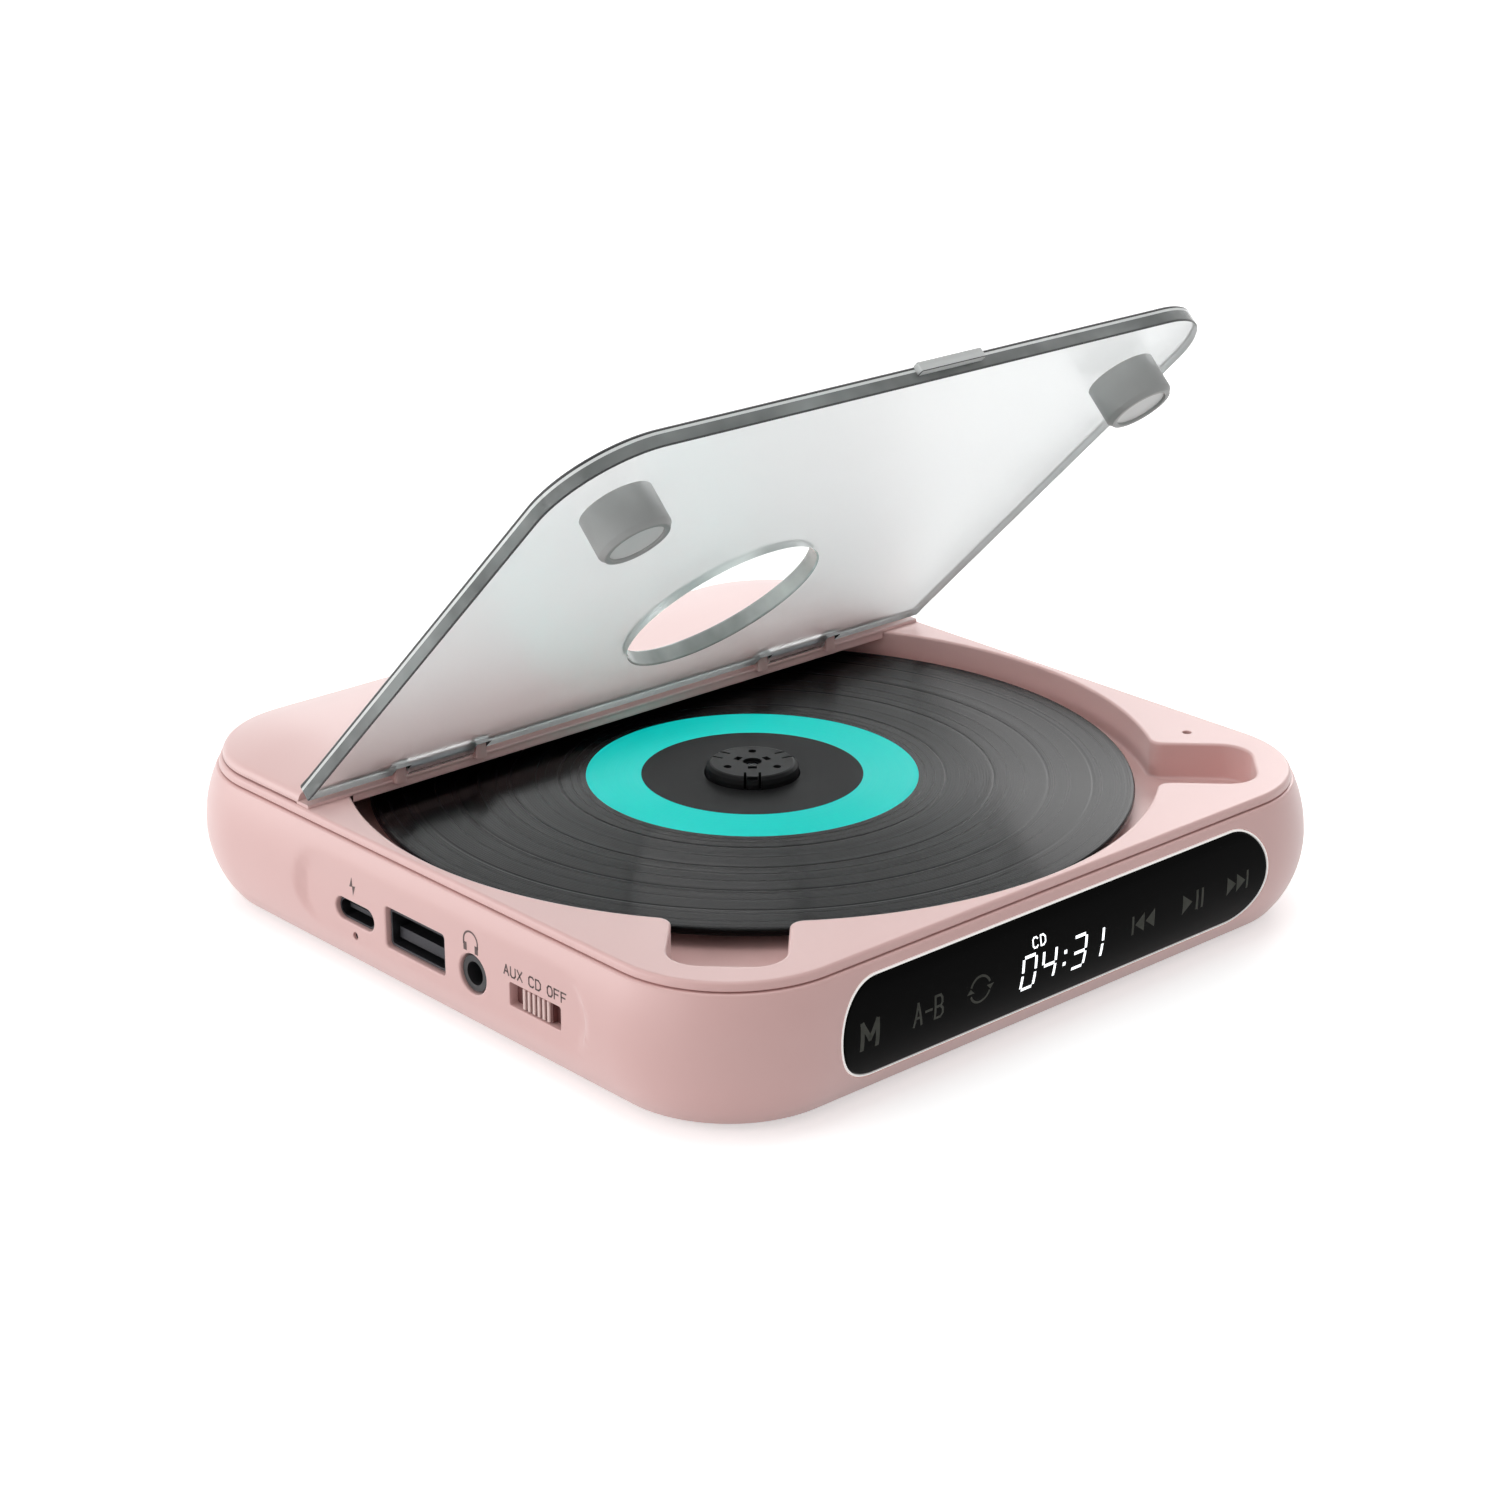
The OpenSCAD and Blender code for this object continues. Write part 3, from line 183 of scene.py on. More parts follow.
# metals: turning, drawing or rolling leaves streaks in the highlight
steel = drawnMetal("turned steel", ("#b2b5ba", "#c0c3c7"), 0.28, (0.04, 1, 1))
motorCan = drawnMetal("deep drawn steel can", ("#9da0a5", "#aaadb1"), 0.32)
drivePlate = drawnMetal("grey coated sheet steel", ("#6a6d72", "#73767b"), 0.5, (1, 0.05, 1), 0.3, 0.3)
# the sockets' and switch's sheet is painted dark as the shade inside the sockets
shadedSocketSteel = drawnMetal("dark tinned sheet", ("#38383c", "#424246"), 0.4, (0.05, 1, 1), 0.3, 0.8)
brassGold = drawnMetal("cut brass", ("#c19a44", "#d0aa52"), 0.25)
magnetPlate = moulded("dull nickel plated magnet", ("#d2d5d4", "#dcdfde"), 0.4, 0.5, 0.01)
# moulded pieces: a fine grain breaks their shine
rubberGrey = moulded("matt grey silicone rubber", ("#47474b", "#4d4d51"), 0.8, 0.4, 0.03)
darkPlastic = moulded("dark grey glass filled nylon", ("#36393e", "#3f4247"), 0.5, 0.5, 0.02)
blackPlastic = moulded("matt black ABS", ("#1f1f21", "#262628"), 0.42)
hubBlack = moulded("satin black acetal hub", ("#0f0f10", "#151516"), 0.4, 0.2, 0.008, Specular_IOR_Level=0.08)
nylon = moulded("natural nylon", ("#e0dccf", "#e8e4d9"), 0.45, 0.4, 0.01)
filmAmber = moulded("amber polyimide film", ("#926d3f", "#a27b49"), 0.3, 1.5, 0.01)
batteryWrap = moulded("silver laminate pouch", ("#b0ac9c", "#bfbbab"), 0.35, 2.5, 0.06, Metallic=0.4)
lightPipe = moulded("smoked light pipe", ("#19191b", "#1e1e20"), 0.3)
postGrey = moulded("satin grey polycarbonate", ("#9b9d9c", "#a3a5a4"), 0.45, 0.35, 0.015)
# solder mask over copper: blocks of lighter green, about 4 mm apart
boardGreen = paint("green solder mask", "#2f6b4a", 0.35)
tracks = node(boardGreen, "TexBrick", [(coordsOf(boardGreen), 0)], in4=260.0, in5=0.06,
    in1=srgb("#2c6646"), in2=srgb("#30704d"), in3=srgb("#3f8a62"))
link(boardGreen, tracks.outputs[0], "Base Color")
lensBlue = paint("coated glass lens", "#7fa0d0", 0.05, Coat_Weight=1.0)
worn(lensBlue, cells(lensBlue, 2.0), 0.03, 0.07)
# extruded PMMA, lightly frosted
lidAcrylic = paint("frosted clear acrylic", "#e6e8e8", 0.34, IOR=1.14, Transmission_Weight=0.93)
worn(lidAcrylic, cells(lidAcrylic, 30.0, 2.0), 0.31, 0.37)
pressed(lidAcrylic, cells(lidAcrylic, 0.5), 0.05, 0.01)
# its polished edges: grey with a drifting tone as painted reflection from inside the plate, a dark line at
# each arris as painted shade and a bright one beside it as a painted highlight
acrylicEdgeReflection = paint("polished acrylic edge", "#6a6e6d", 0.15, Transmission_Weight=0.25)
varied(acrylicEdgeReflection, cells(acrylicEdgeReflection, 9.0, 3.0), "#474b4a", "#8b908f", 0.36, 0.66)
acrylicEdgeShadeLine = paint("dark arris of the acrylic", "#1c1e1f", 0.3)
worn(acrylicEdgeShadeLine, cells(acrylicEdgeShadeLine, 1.0), 0.25, 0.35)
acrylicEdgeHighlight = paint("bright band in the acrylic edge", "#f2f5f4", 0.15, Transmission_Weight=0.3)
worn(acrylicEdgeHighlight, cells(acrylicEdgeHighlight, 1.0), 0.12, 0.2)
# the hole's cut wall: grey-green, mottled dark to light as painted reflection from inside the plate
acrylicCutTintReflection = paint("green tinted cut of the acrylic", "#b3bdb9", 0.2, Transmission_Weight=0.35)
varied(acrylicCutTintReflection, cells(acrylicCutTintReflection, 7.0, 4.0), "#848d8a", "#ccd5d1")
# pressed vinyl look: near black, the grooves fan the lamps into wedges
discBlack = grooved("grooved gloss black disc", "#040405", 0.25, 0.92, 0.09, 0.04, Specular_IOR_Level=0.08)
discLabel = moulded("black disc label", ("#141415", "#19191a"), 0.5, 0.4, 0.01, Specular_IOR_Level=0.08)
discTeal = grooved("brushed turquoise ring", "#03e2d9", 0.35, 0.8, 0.16, 0.04, Specular_IOR_Level=0.05)
print("materials made")


def xyz(*values):
    # rows (x, y, z) or (x, y) of single values or runs
    return np.column_stack(np.broadcast_arrays(*values))


def level(points, z):
    return xyz(points[:, 0], points[:, 1], z)


def flatAt(z):
    return lambda points: level(points, z)


def gridPoints(xs, ys):
    # every pair of an x and a y, as rows
    x, y = np.meshgrid(xs, ys)
    return np.stack([x.ravel(), y.ravel()], 1)


def offset(points, amount):
    # point + amount * normal, square to the chord between its neighbours on an anticlockwise loop
    ahead = np.roll(points, -1, 0) - np.roll(points, 1, 0)
    ahead /= np.linalg.norm(ahead, axis=1)[:, None] + 1e-12
    return points + np.stack([ahead[:, 1], -ahead[:, 0]], 1) * amount


def arc(cx, cy, r, a0, a1, steps):
    # centre + r (cos a, sin a), with a in equal steps from a0 to a1 degrees
    a = np.radians(np.linspace(a0, a1, steps + 1))
    return np.stack([cx + r * np.cos(a), cy + r * np.sin(a)], 1)


def circle(cx, cy, r, steps):
    # a full arc without its repeated last point
    return arc(cx, cy, r, 0, 360, steps)[:-1]


def line(a, b, spacing):
    # a + (b - a) t, in equal steps of about the spacing
    a, b = np.array(a, float), np.array(b, float)
    n = max(1, int(round(np.linalg.norm(b - a) / spacing)))
    return a + (b - a) * np.linspace(0, 1, n + 1)[:, None]


def joinPath(parts):
    # chains runs of points and drops repeated ones, the last against the first too
    points = np.concatenate(parts)
    step = np.linalg.norm(points - np.roll(points, -1, 0), axis=1)
    return points[step > 1e-6]


def roundedRect(w, h, r, steps, spacing, cx=0.0, cy=0.0):
    # quarter arcs about the centres (w/2 - r, h/2 - r), joined by lines, from the top right corner
    x, y = w / 2 - r, h / 2 - r
    corners = ((x, y, 0), (-x, y, 90), (-x, -y, 180), (x, -y, 270))
    arcs = [arc(px, py, r, a, a + 90, steps) for px, py, a in corners]
    runs = [line(a[-1], b[0], spacing) for a, b in zip(arcs, arcs[1:] + arcs[:1])]
    return joinPath([p for pair in zip(arcs, runs) for p in pair]) + np.array([cx, cy])


def turned(points, angle):
    # x' = x cos - y sin, y' = x sin + y cos
    c, s = cos(radians(angle)), sin(radians(angle))
    return points @ np.array([[c, s], [-s, c]])


def quarterRound(r, steps):
    # a rounded edge from level to upright: pairs (r (1 - sin t), r (1 - cos t)), t from 0 to 90 degrees
    turns = [k / steps * pi / 2 for k in range(steps + 1)]
    return [(r * (1 - sin(t)), r * (1 - cos(t))) for t in turns]


def insidePolygon(points, polygon):
    # even-odd rule: an edge counts where x0 + (x1 - x0) (y - y0) / (y1 - y0) > x
    x, y = points[:, 0][:, None], points[:, 1][:, None]
    (x0, y0), (x1, y1) = polygon.T[:, None], np.roll(polygon, -1, 0).T[:, None]
    crosses = (y0 > y) != (y1 > y)
    at = (x1 - x0) * (y - y0) / np.where(crosses, y1 - y0, 1.0) + x0
    return (np.sum(crosses & (x < at), axis=1) % 2) == 1


def fillPanel(outer, holes, grid=None, clear=0.5):
    # Delaunay triangles of an outline, its holes and the grid points clear of every edge
    loops = [outer, *holes]
    points = list(np.concatenate(loops))
    edges, start = [], 0
    for loop in loops:
        n = len(loop)
        edges.extend((start + k, start + (k + 1) % n) for k in range(n))
        start += n

    def between(p):
        keep = insidePolygon(p, outer)
        for hole in holes:
            keep &= ~insidePolygon(p, hole)
        return keep

    if grid is not None:
        grid = grid[between(grid)]
        edge = np.concatenate(loops)
        batch = 500  # points measured at a time, to save memory
        for k in range(0, len(grid), batch):
            part = grid[k:k + batch]
            gap = np.min(np.linalg.norm(part[:, None] - edge[None], axis=2), axis=1)
            points.extend(part[gap > clear])
    coords, _, faces, *_ = delaunay_2d_cdt([Vector(p) for p in points], edges, [], 1, 1e-7)
    coords, faces = np.array([tuple(c) for c in coords]), np.array([tuple(f) for f in faces])
    return coords, [tuple(f) for f in faces[between(coords[faces].mean(axis=1))]]


class Shape:
    # gathers points and faces in millimetres, then welds them into one piece in metres
    weld = 0.002

    def __init__(self):
        self.verts, self.faces, self.marks, self.count = [], [], [], 0

    def add(self, verts, faces, mark=0):
        self.verts.append(np.asarray(verts, float))
        self.faces.extend(tuple(self.count + i for i in f) for f in faces)
        self.marks.extend([mark] * len(faces))
        self.count += len(verts)

    def panel(self, outer, holes, place, grid=None, flip=False, clear=0.5):
        # a flat layout with holes, carried to its surface by place
        flat, faces = fillPanel(outer, holes, grid, clear)
        self.add(place(flat), [f[::-1] for f in faces] if flip else faces)

    def skin(self, loops, flip=False, closed=True, mark=0):
        # quads between each loop and the next
        n = len(loops[0])
        rows, columns = range(len(loops) - 1), range(n if closed else n - 1)
        faces = [(k * n + i, k * n + (i + 1) % n, (k + 1) * n + (i + 1) % n, (k + 1) * n + i)
            for k in rows for i in columns]
        self.add(np.concatenate(loops), [f[::-1] for f in faces] if flip else faces, mark)

    def face(self, points, turn=1, mark=0):
        # one flat face round a run of points, turned over by -1
        self.add(points, [tuple(range(len(points)))[::turn]], mark)

    def build(self, name, rider, materials, replaces=(), slotName=None, sharp=38):
        # points nearer than the weld become one
        verts = np.concatenate(self.verts) * mm
        keys = np.round(verts / (self.weld * mm)).astype(np.int64)
        _, first, back = np.unique(keys, axis=0, return_index=True, return_inverse=True)
        back = back.reshape(-1)
        faces, marks = [], []
        for f, mark in zip(self.faces, self.marks):
            g = [int(back[i]) for i in f]
            g = [a for a, b in zip(g, g[1:] + g[:1]) if a != b]
            if len(set(g)) > 2:
                faces.append(g)
                marks.append(mark)
        mesh = bpy.data.meshes.new(name)
        mesh.from_pydata(verts[first].tolist(), [], faces)
        mesh.polygons.foreach_set("material_index", marks)
        mesh.polygons.foreach_set("use_smooth", [True] * len(mesh.polygons))
        mesh.validate()
        mesh.update()
        mesh.set_sharp_from_angle(angle=radians(sharp))
        for m in materials:
            mesh.materials.append(m)
        o = show(name, mesh)
        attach(o, rider)
        if replaces:
            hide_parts(*replaces)


body = dict(width=130.0, depth=129.6, corner=19.2, top=23.0, foot=0.8, parting=21.5, bulge=2.9, bulgeZ=12.2,
    tuck=1.5, bottomRound=1.6, baseInset=4.5, baseZ=2.4)
pad = dict(middleY=-6.15, middleZ=12.4, length=69.0, height=13.4, depth=0.9, fade=1.3, soft=0.1)
# openings in the left wall, at (y, z)
ports = dict(charge=dict(at=(14.4, 11.0), size=(9.6, 3.5), corner=1.74, steps=10, rim=0.3, depth=2.2),
    stick=dict(at=(-0.5, 11.6), size=(14.2, 6.5), corner=0.6, steps=5, rim=0.3, depth=2.2),
    jack=dict(at=(-14.2, 11.0), radius=3.1, steps=40, rim=0.3, depth=2.2),
    switch=dict(at=(-28.4, 11.0), size=(11.4, 3.6), corner=0.35, steps=4, rim=0.15, depth=1.6),
    light=dict(at=(14.4, 7.4), radius=0.6, steps=18, rim=0.12, depth=1.5))
window = dict(z=12.2, width=89.6, height=15.0, line=0.32, rim=0.2, depth=1.4, edge=0.3)
apron = 0.12  # flat ring round each opening's rounded mouth


def bowRadius(rise, half):
    # radius of an arc with this rise over half its chord: (rise^2 + half^2) / (2 rise)
    return (rise ** 2 + half ** 2) / (2 * rise)


upperR = bowRadius(body["bulge"], body["top"] - body["bulgeZ"])
lowerR = bowRadius(body["bulge"] + body["tuck"], body["bulgeZ"] - body["foot"])


def wallOut(z):
    # the wall's reach past the flat top's edge: bulge - r + sqrt(r^2 - (z - bulgeZ)^2)
    z = np.asarray(z, float)
    r = np.where(z >= body["bulgeZ"], upperR, lowerR)
    return body["bulge"] - r + np.sqrt(np.maximum(r * r - (z - body["bulgeZ"]) ** 2, 0))


# edge of the flat top from its rear right corner, and the length along it
outline = roundedRect(body["width"], body["depth"], body["corner"], 24, 2.0)
outlineStep = np.linalg.norm(np.roll(outline, -1, 0) - outline, axis=1)
outlineAt = np.concatenate([[0], np.cumsum(outlineStep)])
outlineClosed = np.vstack([outline, outline[:1]])
perimeter = outlineAt[-1]
cornerX, cornerY = body["width"] / 2 - body["corner"], body["depth"] / 2 - body["corner"]
arcLength = body["corner"] * pi / 2
leftStart = 2 * arcLength + 2 * cornerX
frontStart = leftStart + 2 * cornerY + arcLength


def onLeft(y):
    # length along the outline at this y
    return leftStart + (cornerY - y)


def onFront(x):
    # length along the outline at this x
    return frontStart + (x + cornerX)


def exactNormals(points):
    # away from the nearest point of the rectangle through the corner centres
    d = points - np.clip(points, (-cornerX, -cornerY), (cornerX, cornerY))
    return d / np.linalg.norm(d, axis=1)[:, None]


def onOutline(s):
    # point and outward normal at the length s
    p = np.stack([np.interp(s, outlineAt, outlineClosed[:, k]) for k in (0, 1)], 1)
    return p, exactNormals(p)


def padMask(y, z):
    # t^2 (3 - 2t) of the distance t inside the pad's rounded outline, so its edge fades
    half = pad["height"] / 2
    a = np.maximum(np.abs(y - pad["middleY"]) - (pad["length"] / 2 - half), 0)
    inside = half - np.hypot(a, z - pad["middleZ"])
    t = np.clip((inside + pad["soft"]) / pad["fade"], 0, 1)
    return t * t * (3 - 2 * t)


def wallPoint(s, z):
    # outline + normal * wallOut(z), less (over + sqrt(over^2 + soft^2)) / 2, over the pad's plane
    p, n = onOutline(s)
    u = wallOut(z)
    over = u - (body["bulge"] - pad["depth"])
    u = u - 0.5 * (over + np.sqrt(over ** 2 + pad["soft"] ** 2)) * padMask(p[:, 1], z) * (n[:, 0] < -0.999)
    return level(p + n * u[:, None], z)


def rimmedHole(shape, loop, place, push, r, depth):
    # flat apron, quarter round of radius r, then the wall, pushed inwards to depth
    loops = [place(offset(loop, r + apron))]
    loops += [place(offset(loop, out)) + push * down for out, down in quarterRound(r, 4)]
    shape.skin(loops)
    shape.skin([loops[-1], loops[-1] + push * (depth - r)])


def makeCase():
    # laid out flat as (length along the outline, z) with its holes, then put round the body
    shape = Shape()
    inward, back = np.array([1.0, 0, 0]), np.array([0, 1.0, 0])
    place = lambda p: wallPoint(p[:, 0] % perimeter, p[:, 1])
    holes = []
    for port in ports.values():
        y, z = port["at"]
        if "radius" in port:
            loop = circle(onLeft(y), z, port["radius"], port["steps"])
        else:
            loop = roundedRect(*port["size"], port["corner"], port["steps"], 0.6, onLeft(y), z)
        rimmedHole(shape, loop, place, inward, port["rim"], port["depth"])
        holes.append(offset(loop, port["rim"] + apron))
    grow = window["line"] + 0.05
    loop = roundedRect(window["width"] + 2 * grow, window["height"] + 2 * grow,
        window["height"] / 2 + grow - 0.01, 20, 1.2, onFront(0), window["z"])
    rimmedHole(shape, loop, place, back, window["rim"], window["depth"])
    holes.append(offset(loop, window["rim"] + apron))
    # columns are the outline's points, finer on the left side; rows are level
    columns = np.unique(np.concatenate([outlineAt, np.arange(leftStart, leftStart + 2 * cornerY, 1.1)]))
    columns = columns[np.concatenate([[True], np.diff(columns) > 0.3])]
    columns[-1] = perimeter
    rows = np.linspace(3.0, body["parting"] - 0.35, 23)
    low, high, inner = rows[0], rows[-1], rows[1:-1]
    border = [(columns, low), (perimeter, inner), (columns[::-1], high), (0.0, inner[::-1])]
    border = np.concatenate([xyz(s, z) for s, z in border])
    shape.panel(border, holes, lambda p: wallPoint(np.clip(p[:, 0], 0, perimeter), p[:, 1]),
        grid=gridPoints(columns[1:-1], inner), clear=0.45)
    # lip at the parting line, then the bottom edge, as pairs of reach and height
    p, n = onOutline(columns[:-1])
    parting = body["parting"]
    lip = ((high, 0), (parting - 0.2, 0), (parting - 0.08, -0.06), (parting, -0.2), (parting, -1.2))
    shape.skin([level(p + n * (float(wallOut(z)) + extra), z) for z, extra in lip])
    shape.skin([level(p + n * u, z) for u, z in [(float(wallOut(low)), low), *bottomProfile()]], flip=True)
    shape.build("caseWall", "housing", [pinkCase], ["case_shell"], "pink_case")


def bottomProfile():
    # a round of radius r that touches the wall's lower arc and the foot, then a step up to the base
    r, foot, inset = body["bottomRound"], body["foot"], body["baseInset"]
    cv = foot + r
    cu = body["bulge"] - lowerR + sqrt((lowerR - r) ** 2 - (body["bulgeZ"] - cv) ** 2)
    away = atan2(cv - body["bulgeZ"], cu - body["bulge"] + lowerR)
    profile = [(cu + r * cos(t), cv + r * sin(t)) for t in np.linspace(away, -pi / 2, 8)]
    return profile + [(cu - 0.2, foot), (0.15 - inset, foot), (-inset, foot + 0.15), (-inset, body["baseZ"]),
        (-inset - 2.6, body["baseZ"])]


makeCase()
print("case wall made")


well = dict(radius=63.6, floor=17.0, rim=0.45, floorRound=0.5, notches=(-135, -45), notchHalf=8.3,
    notchReach=78.5, notchCorner=5.0, fillet=2.2, hub=6.5)
slot = dict(direction=45.0, middle=40.0, length=45.6, width=19.6, corner=3.0, rim=0.18, depth=1.6)
pinhole = dict(x=58.3, y=-39.3, radius=0.7, depth=1.4)


def wellOutline():
    # a circle with two notches; a fillet of radius r meets it at atan(half / sqrt((R + r)^2 - half^2))
    r, hw, rc = well["fillet"], well["notchHalf"], well["notchCorner"]
    half, reach = hw + r, well["notchReach"]
    fu = sqrt((well["radius"] + r) ** 2 - half ** 2)
    phi = degrees(atan2(half, fu))
    notch = joinPath([arc(fu, -half, r, 180 - phi, 90, 8), line((fu, -hw), (reach - rc, -hw), 1.5),
        arc(reach - rc, rc - hw, rc, -90, 0, 12), line((reach, rc - hw), (reach, hw - rc), 1.5),
        arc(reach - rc, hw - rc, rc, 0, 90, 12), line((reach - rc, hw), (fu, hw), 1.5),
        arc(fu, half, r, -90, phi - 180, 8)])
    parts = []
    first, second = well["notches"]
    for a, b in ((first, second), (second, first + 360)):
        parts.append(turned(notch, a))
        parts.append(arc(0, 0, well["radius"], a + phi, b - phi, max(8, int((b - a - 2 * phi) / 1.5))))
    return joinPath(parts)


def makeDeck():
    # flat top and well, whose floor has the hub's hole and the slot
    shape = Shape()
    top, floor, r = body["top"], well["floor"], well["rim"]
    down = np.array([0, 0, -1.0])
    opening = wellOutline()
    mouth = offset(opening, r + 0.15)
    pin = circle(pinhole["x"], pinhole["y"], pinhole["radius"], 20)
    n = exactNormals(outline)
    shape.panel(outline + n * -0.4, [mouth, offset(pin, slot["rim"] + apron)], flatAt(top))
    # outer edge: reach and height
    rim = [(-0.4, top), (-0.28, top), (-0.16, top - 0.02), (-0.02, top - 0.09), (0.12, top - 0.21),
        (0.24, top - 0.38), (0.33, top - 0.65), (0.4, top - 0.95), (0.44, 21.86), (0.4, 21.78),
        (0.3, 21.75), (-0.5, 21.75), (-0.5, 21.5)]
    shape.skin([level(outline + n * u, z) for u, z in rim], flip=True)
    loops = [level(mouth, top)]
    loops += [level(offset(opening, out), top - deep) for out, deep in quarterRound(r, 6)]
    loops += [level(opening, z) for z in (21.0, 19.5, 18.0, floor + well["floorRound"])]
    fillet = quarterRound(well["floorRound"], 4)[1:]
    loops += [level(offset(opening, -deep), floor + out) for out, deep in fillet]
    field = offset(opening, -well["floorRound"] - 0.2)
    shape.skin([*loops, level(field, floor)])
    hubHole = circle(0, 0, well["hub"], 64)
    slotLoop = turned(roundedRect(slot["length"], slot["width"], slot["corner"], 8, 3.0, slot["middle"]),
        slot["direction"])
    shape.panel(field, [offset(loop, slot["rim"] + apron) for loop in (hubHole, slotLoop)], flatAt(floor))
    for loop in (hubHole, slotLoop):
        rimmedHole(shape, loop, flatAt(floor), down, slot["rim"], slot["depth"])
    rimmedHole(shape, pin, flatAt(top), down, slot["rim"], pinhole["depth"])
    shape.build("deckTop", "housing", [pinkCase], ["top_deck"], "pink_case")


makeDeck()
print("deck made")


cap = dict(inset=0.2, height=4.8, fall=3.3, gap=0.4, front=31.0, frontRound=2.2, edge=1.6, blend=0.5,
    step=1.6, cornerSteps=26, lip=28.4, lipTop=23.55, lipUnder=21.8)
capR = body["corner"] - cap["inset"]
domeR = bowRadius(cap["fall"], capR)
domeV = body["top"] + cap["height"] - domeR
halfW, halfD = body["width"] / 2 - cap["inset"], body["depth"] / 2 - cap["inset"]


def softMin(a, b, k):
    # the lower of two heights, blended over k: a h + b (1 - h) - k h (1 - h)
    h = np.clip(0.5 + 0.5 * (b - a) / k, 0, 1)
    return b * (1 - h) + a * h - k * h * (1 - h)


def capHeight(p):
    # the lower of a dome, domeV + sqrt(domeR^2 - reach^2), and the front's round, sqrt(r^2 - t^2) - r
    dx = np.maximum(np.abs(p[:, 0]) - (halfW - capR), 0)
    dy = np.maximum(p[:, 1] - (halfD - capR), 0)
    dome = domeV + np.sqrt(domeR ** 2 - np.minimum(np.hypot(dx, dy), capR) ** 2)
    r = cap["frontRound"]
    t = np.clip(cap["front"] + r - p[:, 1], 0, r)
    return softMin(dome, body["top"] + cap["height"] - r + np.sqrt(r * r - t * t), cap["blend"])


def makeCap():
    # field at capHeight, round of radius e to the rim, gap above the deck, front face down to the lip
    shape = Shape()
    e, y0, step, spread = cap["edge"], cap["front"], cap["step"], cap["cornerSteps"]
    cu = capR - e
    cv = domeV + sqrt((domeR - e) ** 2 - cu ** 2)
    tilt = atan2(cv - domeV, cu)
    inner = cu * domeR / (domeR - e)
    cx, cy = halfW - capR, halfD - capR
    onDome = lambda p: level(p, capHeight(p))
    # rows of the rounded front edge, then the open field behind them
    rounding = y0 + cap["frontRound"] * (1 - np.cos(np.linspace(0, pi / 2, 9)))
    behind = rounding[-1]
    x, y = cx + inner, cy + inner
    right = xyz(x, rounding[:-1])
    field = np.concatenate([line((x, behind), (x, cy), 1.2), arc(cx, cy, inner, 0, 90, spread)[1:],
        line((cx, y), (-cx, y), 2.4)[1:], arc(-cx, cy, inner, 90, 180, spread)[1:],
        line((-x, cy), (-x, behind), 1.2)[1:]])
    across = line((-x, 0), (x, 0), step)[:, 0]
    rows = [xyz(across, y) for y in rounding]
    shape.skin([onDome(row) for row in rows], closed=False)
    shape.panel(np.concatenate([field, rows[-1][1:-1]]), [], onDome, clear=0.35,
        grid=gridPoints(np.arange(-66, 66.1, step), np.arange(behind + 1.2, 66, step)))
    rim = np.concatenate([right, field, (right * [-1, 1])[::-1]])
    n = rim - np.stack([np.clip(rim[:, 0], -cx, cx), np.minimum(rim[:, 1], cy)], 1)
    n[:, 1] = np.where(rim[:, 1] < cy, 0, n[:, 1])
    n /= np.linalg.norm(n, axis=1)[:, None]
    base, high = rim - n * inner, capHeight(rim)
    lift = high - (domeV + sqrt(domeR ** 2 - inner ** 2))
    loops = [level(rim, high)]
    for t in np.linspace(tilt, 0, 6)[1:]:
        loops.append(level(base + n * (cu + e * cos(t)), cv + (e + lift / sin(tilt)) * sin(t)))
    low, edge = body["top"] + cap["gap"], base + n * capR
    under = ((0, low + 0.2), (-0.06, low + 0.06), (-0.2, low), (-1.1, low), (-1.1, body["top"]))
    loops += [level(edge + n * u, z) for u, z in under]
    shape.skin(loops, flip=True, closed=False)
    # front face, from the rounded edge down to the lip, and its two ends
    crest = capHeight(rows[0])
    shape.skin([xyz(across, y0, crest * (1 - k) + cap["lipTop"] * k) for k in np.linspace(0, 1, 4)],
        flip=True, closed=False)
    for k, turn in ((-1, 1), (0, -1)):
        profile = [loop[k] for loop in loops[:-2]]
        foot = (profile[0][0], y0, cap["lipTop"])
        shape.face([*profile, foot], turn)
    shape.build("rearCap", "housing", [litCapPink], ["rear_cap"], "pale_cap")


makeCap()


hinge = dict(y=29.4, z=25.2, open=45.0, places=(-40.0, 35.5), length=13.0, radius=1.9, pin=0.79, ear=1.75,
    earHalf=1.0, earAway=1.3)
earMiddles = [place + side * (hinge["length"] / 2 + hinge["earAway"]) for place in hinge["places"]
    for side in (-1, 1)]


